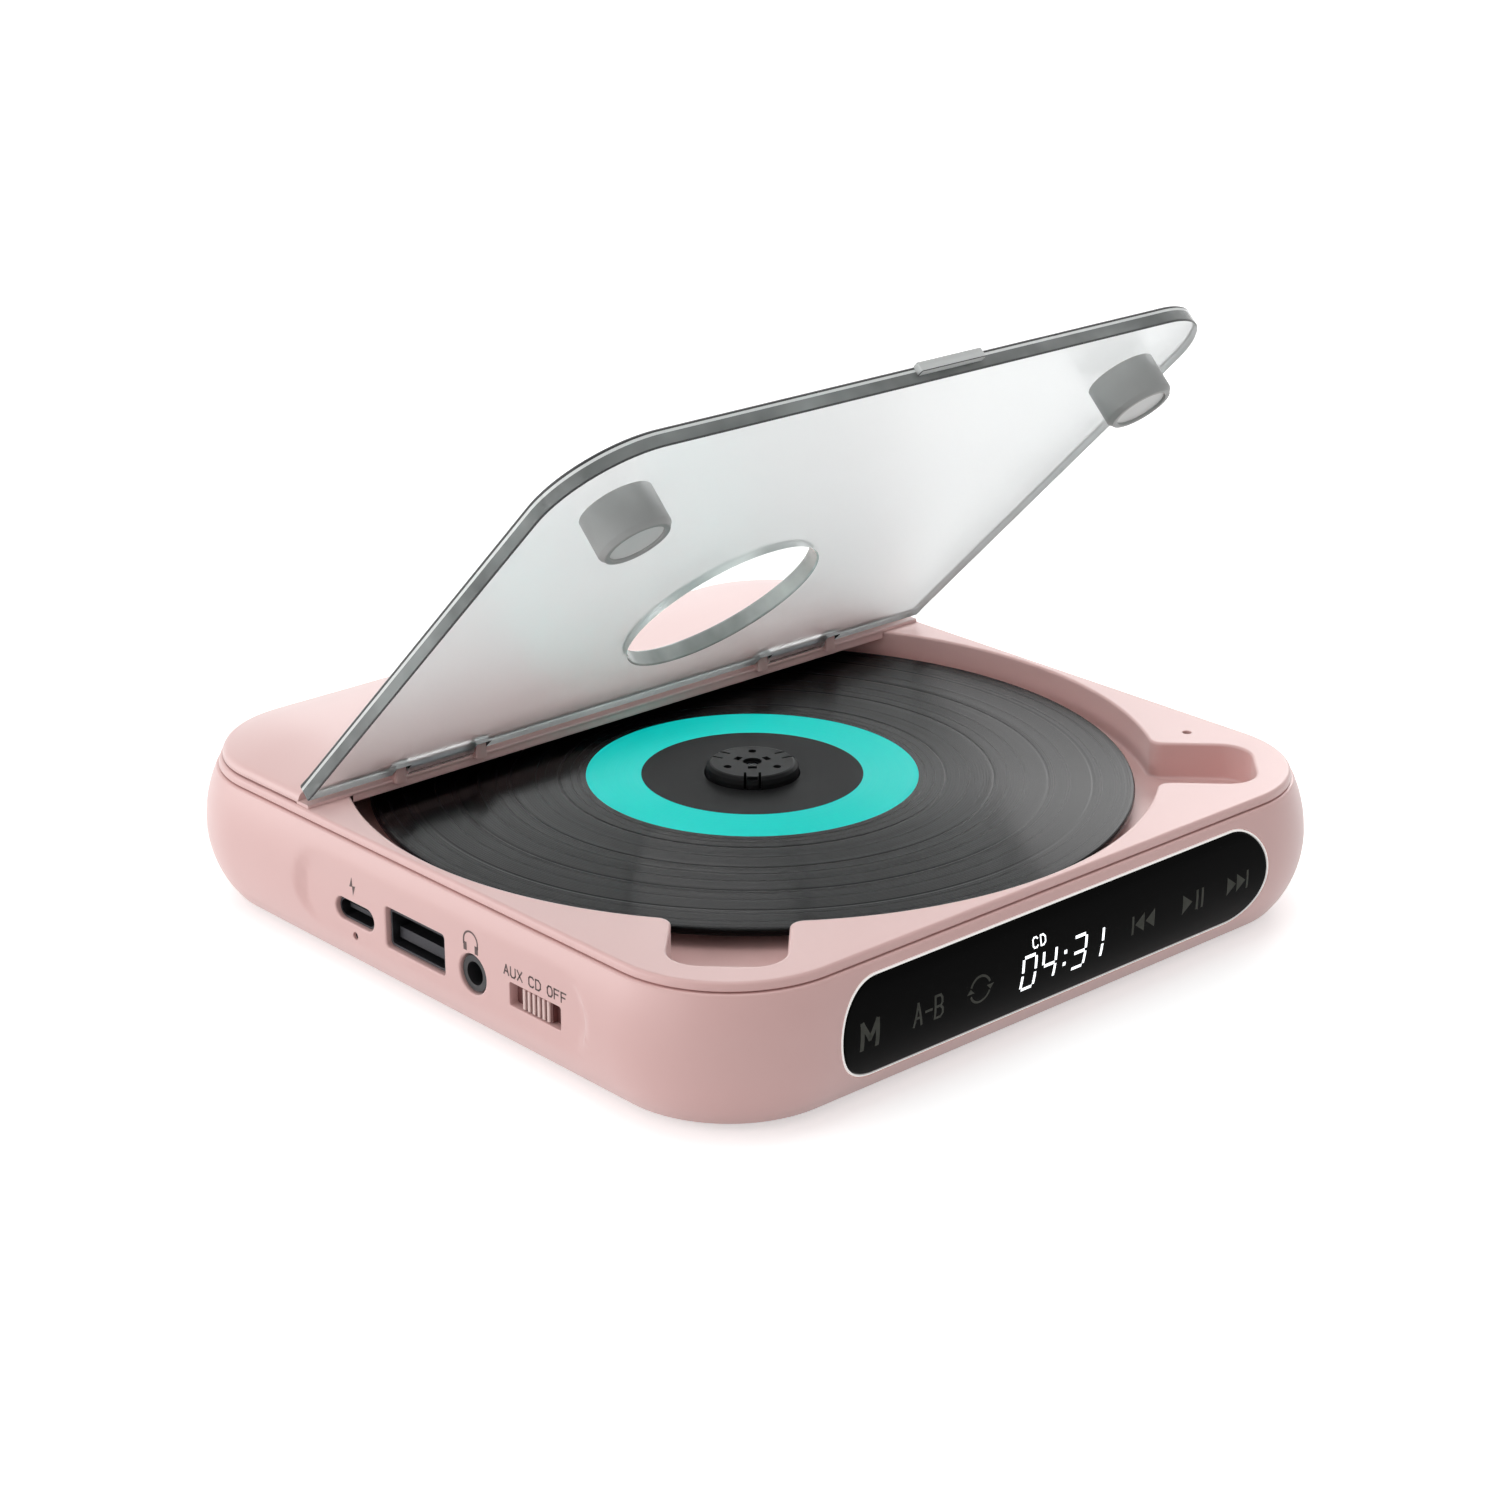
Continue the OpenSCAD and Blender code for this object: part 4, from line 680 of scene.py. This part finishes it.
def makeLip():
    # a section (y, z) drawn along X in front of the cap, with the hinge's ears on it
    shape = Shape()
    y0, y1, top, under, low = cap["lip"], cap["front"] + 0.4, cap["lipTop"], cap["lipUnder"], body["top"]
    half, r = halfW - 0.05, 0.2
    xs = np.linspace(-half, half, 140)
    section = [(y1, top), (y0 + r, top), (y0 + r * 0.3, top - r * 0.3), (y0, top - r), (y0, low + 0.02),
        (y1, low + 0.02)]
    strip = [xyz(xs, y, z) for y, z in section]
    shape.skin(strip, flip=True, closed=False)
    for k, turn in ((0, -1), (-1, 1)):
        shape.face([row[k] for row in strip], turn)
    # its front goes on down inside the well
    reach = sqrt((well["radius"] - 0.4) ** 2 - y0 ** 2)
    xs = np.linspace(-reach, reach, 60)
    section = ((y0, low + 0.1), (y0, under + 0.15), (y0 + 0.15, under), (y1, under))
    shape.skin([xyz(xs, y, z) for y, z in section], flip=True, closed=False)
    y, z, ear, side = hinge["y"], hinge["z"], hinge["ear"], hinge["earHalf"]
    profile = np.concatenate([arc(y, z, ear, 0, 180, 20), [[y - ear, low], [y + ear, low]]])
    trim = offset(profile, -0.1)
    slices = ((-side, trim), (0.1 - side, profile), (side - 0.1, profile), (side, trim))
    for middle in earMiddles:
        rings = [xyz(middle + x, *p.T) for x, p in slices]
        shape.skin(rings, flip=True)
        for k, turn in ((0, -1), (-1, 1)):
            shape.face(rings[k], turn)
    shape.build("hingeStrip", "housing", [litCapPink], [], "pale_cap")


makeLip()
print("cap made")


plate = dict(width=129.4, length=94.8, corner=14.5, thick=2.8, chamfer=0.22, earNotch=2.05, darkBand=0.28,
    highlightBandEnd=0.7, holeRadius=16.8, holeAt=30.6, tabX=3.8, tabWidth=13.0, tabDeep=1.3, tabOut=0.55)
post = dict(radius=5.6, x=50.98, y=-80.38, length=6.6, recess=4.34)


def lidTurn(p):
    # from the closed lid round the hinge: y' = y cos a - z sin a, z' = y sin a + z cos a
    a = radians(-hinge["open"])
    y = p[:, 1] * cos(a) - p[:, 2] * sin(a)
    z = p[:, 1] * sin(a) + p[:, 2] * cos(a)
    return xyz(p[:, 0], y + hinge["y"], z + hinge["z"])


def lidAt(z):
    return lambda p: lidTurn(level(p, z))


def revolve(profile, steps, cx=0.0, cy=0.0):
    # rings (cx + r cos a, cy + r sin a, z)
    a = np.linspace(0, 2 * pi, steps + 1)[:-1]
    return [xyz(cx + r * np.cos(a), cy + r * np.sin(a), z) for r, z in profile]


def makeLid():
    # plate from z = -h to h with notches for the ears; its edge bands take painted reflection, painted shade
    # lines and a painted highlight, and the hole's cut a mottle of painted reflection
    shape = Shape()
    w, length, r, h = plate["width"] / 2, plate["length"], plate["corner"], plate["thick"] / 2
    c, deep, away = plate["chamfer"], plate["earNotch"], hinge["earAway"]
    back = [(-w, 0.0)]
    for middle in earMiddles:
        a, b = middle - away, middle + away
        back += [(a, 0.0), (a, -deep), (b, -deep), (b, 0.0)]
    back.append((w, 0.0))
    x, y = w - r, r - length
    border = joinPath([arc(-x, y, r, 180, 270, 24), line((-x, -length), (x, -length), 3.0),
        arc(x, y, r, 270, 360, 24), line((w, y), (w, 0), 3.0), np.array(back[::-1]),
        line((-w, 0), (-w, y), 3.0)[1:-1]])
    hole = circle(0, -plate["holeAt"], plate["holeRadius"], 120)
    for z in (h, -h):
        shape.panel(offset(border, -c), [offset(hole, c)], lidAt(z), flip=z < 0)
    rim = [(-c, h), (0, h - c), (0, h - c - plate["darkBand"]), (0, h - c - plate["highlightBandEnd"]),
        (0, c - h + 0.1), (0, c - h), (-c, -h)]
    edge = [lidAt(z)(offset(border, u)) for u, z in rim]
    mouth = [lidAt(z)(offset(hole, -u)) for u, z in rim]
    # marks: 2 the dark painted shade line, 3 the painted highlight, 1 the grey of painted reflection, 4 the
    # hole's cut
    for k, mark in enumerate((2, 2, 3, 1, 1, 2)):
        shape.skin(edge[k:k + 2], flip=True, mark=mark)
        shape.skin(mouth[k:k + 2], mark=4)
    shape.build("lidPlate", "lid", [lidAcrylic, acrylicEdgeReflection, acrylicEdgeShadeLine, acrylicEdgeHighlight, acrylicCutTintReflection],
        ["lid"], "clear_acrylic", sharp=30)
    # the finger tab is painted with the edge's highlight and its dark shade lines
    tab = Shape()
    box = roundedRect(plate["tabWidth"], plate["tabDeep"], 0.25, 4, 2.0, plate["tabX"],
        -length - plate["tabOut"])
    rings = [lidAt(z)(offset(box, u)) for u, z in ((-0.15, h), (0, h - 0.15), (0, -0.1), (-0.1, -0.2))]
    for k, mark in enumerate((1, 0, 1)):
        tab.skin(rings[k:k + 2], flip=True, mark=mark)
    tab.panel(offset(box, -0.15), [], lidAt(h))
    tab.panel(offset(box, -0.1), [], lidAt(-0.2), flip=True)
    tab.build("lidTab", "lid", [acrylicEdgeHighlight, acrylicEdgeShadeLine], [], "clear_acrylic", sharp=30)


def makeKnuckles():
    # barrels on the hinge axis: rings (place + x, r cos a, r sin a)
    half, r, pin = hinge["length"] / 2, hinge["radius"], hinge["pin"]
    profile = ((-half, pin), (-half, r - 0.2), (0.2 - half, r), (half - 0.2, r), (half, r - 0.2), (half, pin),
        (-half, pin))
    a = np.linspace(0, 2 * pi, 49)[:-1]
    for k, place in enumerate(hinge["places"]):
        barrel = Shape()
        rings = [xyz(place + x, r * np.cos(a), r * np.sin(a)) for x, r in profile]
        barrel.skin([lidTurn(ring) for ring in rings], flip=True)
        barrel.build(f"lidKnuckle{k}", "lid", [lidAcrylic], [], "clear_acrylic", sharp=30)


def makePosts():
    # a turned profile (r, z) at each front corner, hollow for the magnet
    shape = Shape()
    r, seat, under = post["radius"], post["recess"], -plate["thick"] / 2
    low = under - post["length"]
    profile = [(0.001, under), (r - 0.1, under), (r, under - 0.1), (r, low + 0.9), (r - 0.06, low + 0.72),
        (r - 0.42, low + 0.3), (r - 0.55, low + 0.06), (r - 0.65, low), (seat, low),
        (seat - 0.1, low + 0.1), (seat - 0.12, low + 0.5), (0.001, low + 0.5)]
    for side in (-1, 1):
        shape.skin([lidTurn(ring) for ring in revolve(profile, 72, side * post["x"], post["y"])], flip=True)
    shape.build("lidPosts", "lid", [postGrey], ["lid_posts"], "grey_post", sharp=50)


makeLid()
makeKnuckles()
makePosts()
print("lid made")


disc = dict(outer=60.0, hole=7.5, under=18.9, top=20.1, ringOuter=26.2, ringInner=17.5, ringDeep=0.03,
    slope=0.1, guard=0.08, gaps=(30.5, 38.0, 46.5, 53.5), gapHalf=0.3, gapDeep=0.05, slices=240)


def makeDisc():
    # turned from pairs (r, z); guard loops keep the flat parts flat in shading
    shape = Shape()
    a, b, top, low = disc["hole"], disc["outer"], disc["top"], disc["under"]
    ri, ro, near, e = disc["ringInner"], disc["ringOuter"], disc["guard"], disc["slope"]
    sunk = top - disc["ringDeep"]
    label = [(a, low + e), (a, top - e), (a + e, top), (a + e + near, top), (ri - near, top), (ri, top)]
    ring = [(ri, top), (ri + e, sunk), (ri + e + near, sunk), (ro - e - near, sunk), (ro - e, sunk),
        (ro, top)]
    # shallow rings part the grooves into tracks
    tracks, h, deep = [], disc["gapHalf"], top - disc["gapDeep"]
    for g in disc["gaps"]:
        tracks += [(g - h - near, top), (g - h, top), (g - h * 0.4, deep), (g + h * 0.4, deep), (g + h, top),
            (g + h + near, top)]
    rest = [(ro, top), (ro + near, top), *tracks, (58.3, top), (58.4, top), (58.6, top - 0.02),
        (58.7, top - 0.02), (59.3, top - 0.02), (59.4, top - 0.02), (59.75, top - 0.06),
        (59.93, top - 0.2), (b, top - 0.4), (b, low + 0.4), (59.93, low + 0.2), (59.75, low), (59.6, low),
        (17.5, low), (17.4, low), (17.2, low - 0.2), (16.6, low - 0.2), (16.4, low), (16.3, low),
        (a + 0.2, low), (a + e, low), (a, low + e)]
    for profile, mark in ((label, 1), (ring, 2), (rest, 0)):
        shape.skin(revolve(profile, disc["slices"]), mark=mark)
    shape.build("discPlate", "turntable", [discBlack, discLabel, discTeal], ["disc"], "black_disc", sharp=30)


makeDisc()
print("disc made")


def frontPlace(lift):
    # onto the curved front: y = -(depth / 2 + wallOut(z)) - lift
    return lambda p: xyz(p[:, 0], -(body["depth"] / 2 + wallOut(p[:, 1])) - lift, p[:, 1])


def makeWindow():
    # glass that follows the wall, with a rounded edge, and the white line round it, which glows faintly as
    # painted light
    shape = Shape()
    w, h, z, r = window["width"], window["height"], window["z"], window["edge"]
    place, back = frontPlace(0), np.array([0, 1.0, 0])
    glass = roundedRect(w - 0.1, h - 0.1, h / 2 - 0.06, 24, 1.2, 0, z)
    inner = offset(glass, -r - 0.15)
    shape.panel(inner, [], place, grid=gridPoints(np.arange(-46, 46.1, 1.5), np.arange(z - 8, z + 8.1, 0.8)))
    loops = [place(inner)] + [place(offset(glass, -out)) + back * deep for out, deep in quarterRound(r, 4)]
    shape.skin([*loops, loops[-1] + back * 0.9], flip=True)
    shape.build("displayGlass", "housing", [blackGloss], ["display_window"], "black_window")
    ring = Shape()
    profile = ((0.06, 0.5), (0.06, 0.1), (0.1, 0.03), (0.16, 0), (0.26, 0), (0.32, 0.03), (0.36, 0.1),
        (0.36, 0.8))
    ring.skin([place(offset(glass, u)) + back * deep for u, deep in profile], flip=True)
    ring.build("windowLine", "housing", [glowingWindowLine], ["window_trim"], "white_line")


makeWindow()


# each block: back and front x, half width, half height, rise above the middle
knob = dict(plate=(-65.5, -64.6, 8.4, 2.3, 0.2), grip=(-66.5, -65.5, 3.35, 1.65, 0.0),
    rib=(-66.8, -66.3, 0.27, 1.6, 0.0), ribs=6, pitch=1.08, bevel=0.08)


def makeKnob():
    # guide plate behind the wall and grip in the slot, painted dark as shade, and ribs painted pale as a
    # highlight, at pitch (k - (ribs - 1) / 2)
    shape = Shape()
    y, z = ports["switch"]["at"]
    bevel = knob["bevel"]

    def block(part, middle, mark=0):
        x0, x1, half, tall, rise = knob[part]
        loop = roundedRect(2 * half, 2 * tall, 0.12, 3, 3.0, middle, z + rise)
        steps = ((x0, -bevel - 0.01), (x0, -bevel), (x0 + bevel, 0), (x1, 0))
        rows = [xyz(x, *offset(loop, u).T) for x, u in steps]
        shape.skin(rows, mark=mark, flip=True)
        shape.face(rows[0], -1, mark)

    block("plate", y)
    block("grip", y)
    for k in range(knob["ribs"]):
        block("rib", y + (k - (knob["ribs"] - 1) / 2) * knob["pitch"], 1)
    shape.build("switchSlider", "switch", [shadedKnobPink, litRibPink], ["switch_knob"], "pink_knob", sharp=30)


makeKnob()


def clipLevel(points, z, side):
    # the part of a convex outline above (side 1) or below (-1) a level, cut at a + (b - a) da / (da - db)
    out = []
    for a, b in zip(points, np.roll(points, -1, 0)):
        da, db = side * (a[1] - z), side * (b[1] - z)
        if da >= 0:
            out.append(a)
        if da * db < 0:
            out.append(a + (b - a) * da / (da - db))
    return np.array(out)


class Marks:
    # flat marks, cut into low bands so that each follows the curve of the wall
    band = 0.5

    def __init__(self, place):
        self.shape, self.place = Shape(), place

    def polygon(self, points):
        points = np.array(points, float)
        low, high = points[:, 1].min(), points[:, 1].max()
        levels = np.linspace(low, high, max(2, int((high - low) / self.band) + 2))
        for z0, z1 in zip(levels[:-1], levels[1:]):
            part = clipLevel(clipLevel(points, z0, 1), z1, -1)
            if len(part) > 2:
                self.shape.face(self.place(part))

    def stroke(self, a, b, width, ends=0.0):
        # a bar from a to b, longer by ends
        a, b = np.array(a, float), np.array(b, float)
        d = (b - a) / np.linalg.norm(b - a)
        n = np.array([-d[1], d[0]]) * width / 2
        a, b = a - d * ends, b + d * ends
        self.polygon([a - n, b - n, b + n, a + n])

    def bow(self, cx, cz, r, a0, a1, width, steps=24):
        # a bar bent to radius r
        inner, outer = arc(cx, cz, r - width / 2, a0, a1, steps), arc(cx, cz, r + width / 2, a0, a1, steps)
        for k in range(steps):
            self.polygon([inner[k], outer[k], outer[k + 1], inner[k + 1]])

    def build(self, name, material, flip=False):
        if flip:
            self.shape.faces = [f[::-1] for f in self.shape.faces]
        self.shape.build(name, "housing", [material])


# each letter as runs of points in a box of 1 by 1
letters = {
    "M": [[(0, 0), (0, 1), (0.5, 0.35), (1, 1), (1, 0)]],
    "A": [[(0, 0), (0.5, 1), (1, 0)], [(0.2, 0.35), (0.8, 0.35)]],
    "B": [[(0, 0), (0, 1), (0.7, 1), (0.9, 0.85), (0.9, 0.65), (0.7, 0.52)],
          [(0, 0.52), (0.7, 0.52), (1, 0.35), (1, 0.15), (0.75, 0), (0, 0)]],
    "C": [[(1, 0.85), (0.75, 1), (0.25, 1), (0, 0.8), (0, 0.2), (0.25, 0), (0.75, 0), (1, 0.15)]],
    "D": [[(0, 0), (0, 1), (0.6, 1), (1, 0.75), (1, 0.25), (0.6, 0), (0, 0)]],
    "F": [[(0, 0), (0, 1), (1, 1)], [(0, 0.52), (0.8, 0.52)]],
    "O": [[(0.25, 0), (0, 0.25), (0, 0.75), (0.25, 1), (0.75, 1), (1, 0.75), (1, 0.25), (0.75, 0),
           (0.25, 0)]],
    "U": [[(0, 1), (0, 0.2), (0.25, 0), (0.75, 0), (1, 0.2), (1, 1)]],
    "X": [[(0, 0), (1, 1)], [(0, 1), (1, 0)]],
    "-": [[(0.1, 0.5), (0.9, 0.5)]],
}
# the seven bars of a digit in the same box, and those that each digit lights
bars = dict(a=((0.08, 1), (0.92, 1)), b=((1, 0.95), (1, 0.55)), c=((1, 0.45), (1, 0.05)),
    d=((0.08, 0), (0.92, 0)), e=((0, 0.45), (0, 0.05)), f=((0, 0.95), (0, 0.55)),
    g=((0.08, 0.5), (0.92, 0.5)))
litBars = {"0": "abcdef", "4": "fgbc", "3": "abgcd", "1": "bc"}
# signs are bars (x, half height, width) and triangles (x, half height, direction)
touch = dict(z=11.85, menu=-41.2, repeat=-31.2, round=-18.1, radius=2.0,
    signs=(("bar", 14.1, 1.5, 0.45), ("tip", 16.6, 1.5, -1), ("tip", 18.9, 1.5, -1),
    ("tip", 25.2, 1.6, 1), ("bar", 28.5, 1.6, 0.5), ("bar", 29.7, 1.6, 0.5),
    ("tip", 35.4, 1.5, 1), ("tip", 37.6, 1.5, 1), ("bar", 40.1, 1.5, 0.45)))
clock = dict(z=8.8, digits=(("0", -9.6), ("4", -5.4), ("3", 1.0), ("1", 4.7)), wide=2.6, high=5.0, width=0.5,
    lean=0.08, colon=-0.75, mode=-7.2)
sidePrint = dict(words=-21.6, wordsZ=13.75, phones=16.0, width=0.3)


def write(marks, text, x, z, wide, high, width, gap, direction=1):
    # a letter's point (u, v) goes to (x + direction u wide, z + v high)
    for ch in text:
        for run in letters.get(ch, []):
            spots = [(x + direction * u * wide, z + v * high) for u, v in run]
            for a, b in zip(spots, spots[1:]):
                marks.stroke(a, b, width, width * 0.35)
        x += direction * (wide + gap) * (0.7 if ch == " " else 1)


def makeTouchMarks():
    # dark marks: letters, a turning pair of arrows, triangles and bars
    grey = Marks(frontPlace(0.02))
    z, x, r = touch["z"], touch["round"], touch["radius"]
    write(grey, "M", touch["menu"], z - 1.9, 2.9, 3.8, 0.75, 0)
    write(grey, "A-B", touch["repeat"], z - 1.7, 1.5, 3.4, 0.4, 0.55)
    for start in (20, 200):
        grey.bow(x, z, r, start, start + 140, 0.38)
    for side in (-1, 1):
        tip = x + side * r
        base = z + side * 0.25
        grey.polygon([(tip - 0.75, base), (tip, z - side * 0.55), (tip + 0.75, base)][::side])
    for kind, x, half, way in touch["signs"]:
        if kind == "bar":
            grey.stroke((x, z - half), (x, z + half), way)
        else:
            grey.polygon([(x, z - half), (x + way * half * 1.35, z), (x, z + half)][::way])
    grey.build("touchMarks", iconGrey)


def makeDigits():
    # a bar's point (u, v) goes to (x + u wide + lean v high, z + v high)
    white = Marks(frontPlace(0.03))
    z, wide, high, lean = clock["z"], clock["wide"], clock["high"], clock["lean"]
    for ch, x in clock["digits"]:
        for name in litBars[ch]:
            a, b = [(x + u * wide + lean * v * high, z + v * high) for u, v in bars[name]]
            white.stroke(a, b, clock["width"])
    for v in (0.3, 0.68):
        x, middle = clock["colon"] + lean * v * high, z + v * high
        white.stroke((x, middle - 0.3), (x, middle + 0.3), 0.6)
    write(white, "CD", clock["mode"], z + high + 0.95, 0.95, 1.5, 0.26, 0.65)
    white.build("litDigits", litWhite)


def makeSideMarks():
    # words, a headphone and a flash in the pad's plane, where Y runs against the reading direction
    plane = -(body["width"] / 2 + body["bulge"] - pad["depth"]) - 0.015
    side = Marks(lambda p: xyz(plane, p[:, 0], p[:, 1]))
    write(side, "AUX CD OFF", sidePrint["words"], sidePrint["wordsZ"], 1.05, 1.5, 0.26, 0.47, -1)
    y, z, width = ports["jack"]["at"][0] + 0.2, sidePrint["phones"], sidePrint["width"]
    side.bow(y, z, 1.6, 0, 180, width)
    for s in (-1, 1):
        side.stroke((y + s * 1.6, z), (y + s * 1.6, z - 0.7), width)
        side.stroke((y + s * 1.3, z - 0.3), (y + s * 1.3, z - 1.6), 0.75)
    y = ports["charge"]["at"][0] + 0.2
    side.polygon([(y + 0.1, 16.9), (y + 0.75, 15.2), (y - 0.05, 15.35)])
    side.polygon([(y - 0.1, 13.9), (y - 0.75, 15.6), (y + 0.05, 15.45)])
    side.build("sideMarks", printGrey, flip=True)


makeTouchMarks()
makeDigits()
makeSideMarks()
print("window and marks made")


# CAD pieces that keep their own mesh, by material
coats = [(pinkCase, "base_cover"), (rubberGrey, "rubber_feet dampers"), (hubBlack, "hub"),
    (steel, "base_screws cap_screws hinge_pins spindle_shaft mech_screws guide_rods feed_arbor"),
    (steel, "motor_shaft board_screws"),
    (magnetPlate, "catch_magnets lid_magnets"), (darkPlastic, "platter pickup_sled"),
    (motorCan, "spindle_motor feed_motor"), (drivePlate, "mech_frame"), (nylon, "sled_rack feed_gear"),
    (blackPlastic, "lens_holder touch_pads digit_module board_chips headphone_jack"),
    (lensBlue, "pickup_lens"), (brassGold, "motor_pinion"), (filmAmber, "touch_film"),
    (boardGreen, "display_board main_board lid_sensor"), (batteryWrap, "battery"),
    (shadedSocketSteel, "usb_c_socket usb_a_socket switch_body"), (lightPipe, "charge_light")]
for coat, names in coats:
    for name in names.split():
        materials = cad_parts[name].data.materials
        materials.clear()
        materials.append(coat)
print("kept pieces painted")


# metres and watts; each lamp has a place, an aim, a size and a power
stage = dict(glowNear=0.5, glowFar=0.7, near=0.35, far=1.6, half=6.0, below=0.0002, sky=0.38)
lamps = dict(leftSoftbox=((-1.05, 0.1, 0.4), (0, 0, 0.02), (0.8, 0.6), 2.0),
    rearLeftSoftbox=((-0.8, 0.75, 0.24), (0, 0, 0.02), (0.8, 0.35), 3.3),
    rearRightSoftbox=((0.72, 0.8, 0.42), (0, 0, 0.02), (0.7, 0.4), 1.5),
    rightSoftbox=((1.0, 0.42, 0.5), (0, 0, 0.02), (0.35, 0.5), 2.6),
    topSoftbox=((0.0, 0.1, 1.1), (0, 0, 0), (0.8, 0.8), 4.4))
# a pinhole camera fitted to the photograph; the focal length is in pixels of a frame 1500 wide
eye = dict(turn=42.253, rise=21.188, place=(-0.3268, -0.3592, 0.2121), focal=3314, frame=1500, sensor=36)


def seenDirectly(m):
    # 1 where the camera, a reflection or a view through the lid meets it, 0 for the light it gives
    path = node(m, "LightPath").outputs
    seen = path["Is Camera Ray"]
    for name in ("Is Glossy Ray", "Is Transmission Ray"):
        seen = node(m, "Math", [(seen, 0), (path[name], 1)], operation="MAXIMUM").outputs[0]
    return seen


def addStage():
    # a pale floor that glows only to the eye, more with distance, so it fades to white
    floor = paint("pale floor", "#f4f4f4", 0.9, Emission_Color=(1, 1, 1, 1))
    away = node(floor, "VectorMath", [(coordsOf(floor), 0)], operation="LENGTH")
    rise = node(floor, "MapRange", [(away.outputs["Value"], 0)], in1=stage["near"], in2=stage["far"],
        in3=stage["glowNear"], in4=stage["glowFar"])
    glow = node(floor, "Math", [(seenDirectly(floor), 0), (rise.outputs[0], 1)], operation="MULTIPLY")
    link(floor, glow.outputs[0], "Emission Strength")
    mesh = bpy.data.meshes.new("floor")
    half = stage["half"]
    corners = [(-half, -half, 0), (half, -half, 0), (half, half, 0), (-half, half, 0)]
    mesh.from_pydata(corners, [], [(0, 1, 2, 3)])
    mesh.materials.append(floor)
    o = show("floor", mesh)
    o.location.z = -stage["below"]


def addLamp(name, place, target, size, power):
    # a soft box whose -Z looks from its place to the target
    data = bpy.data.lights.new(name, "AREA")
    data.shape, data.size, data.size_y, data.energy = "RECTANGLE", *size, power
    o = show(name, data)
    o.location = place
    o.rotation_euler = (Vector(target) - Vector(place)).to_track_quat("-Z", "Y").to_euler()


def addWorld():
    # white to the eye, and a dimmer sky as a light
    world = bpy.data.worlds.new("studio")
    bpy.context.scene.world = world
    world.use_nodes = True
    strength = node(world, "MapRange", [(seenDirectly(world), 0)], in3=stage["sky"], in4=1.0)
    back = world.node_tree.nodes["Background"]
    back.inputs[0].default_value = (1, 1, 1, 1)
    world.node_tree.links.new(strength.outputs[0], back.inputs[1])


def addCamera():
    # back = (-sin a cos e, -cos a cos e, sin e), right = (cos a, -sin a, 0), up = back x right
    a, e = radians(eye["turn"]), radians(eye["rise"])
    back = Vector((-sin(a) * cos(e), -cos(a) * cos(e), sin(e)))
    right = Vector((cos(a), -sin(a), 0))
    rotation = Matrix((right, back.cross(right), back)).transposed().to_4x4()
    data = bpy.data.cameras.new("camera")
    data.sensor_width = eye["sensor"]
    data.lens = eye["focal"] / eye["frame"] * eye["sensor"]
    data.clip_start, data.clip_end = 0.01, 30
    o = bpy.context.scene.camera = show("camera", data)
    o.matrix_world = Matrix.Translation(eye["place"]) @ rotation


addStage()
addWorld()
for name, settings in lamps.items():
    addLamp(name, *settings)
addCamera()
bpy.context.scene.view_settings.view_transform = "Standard"
print("stage set")
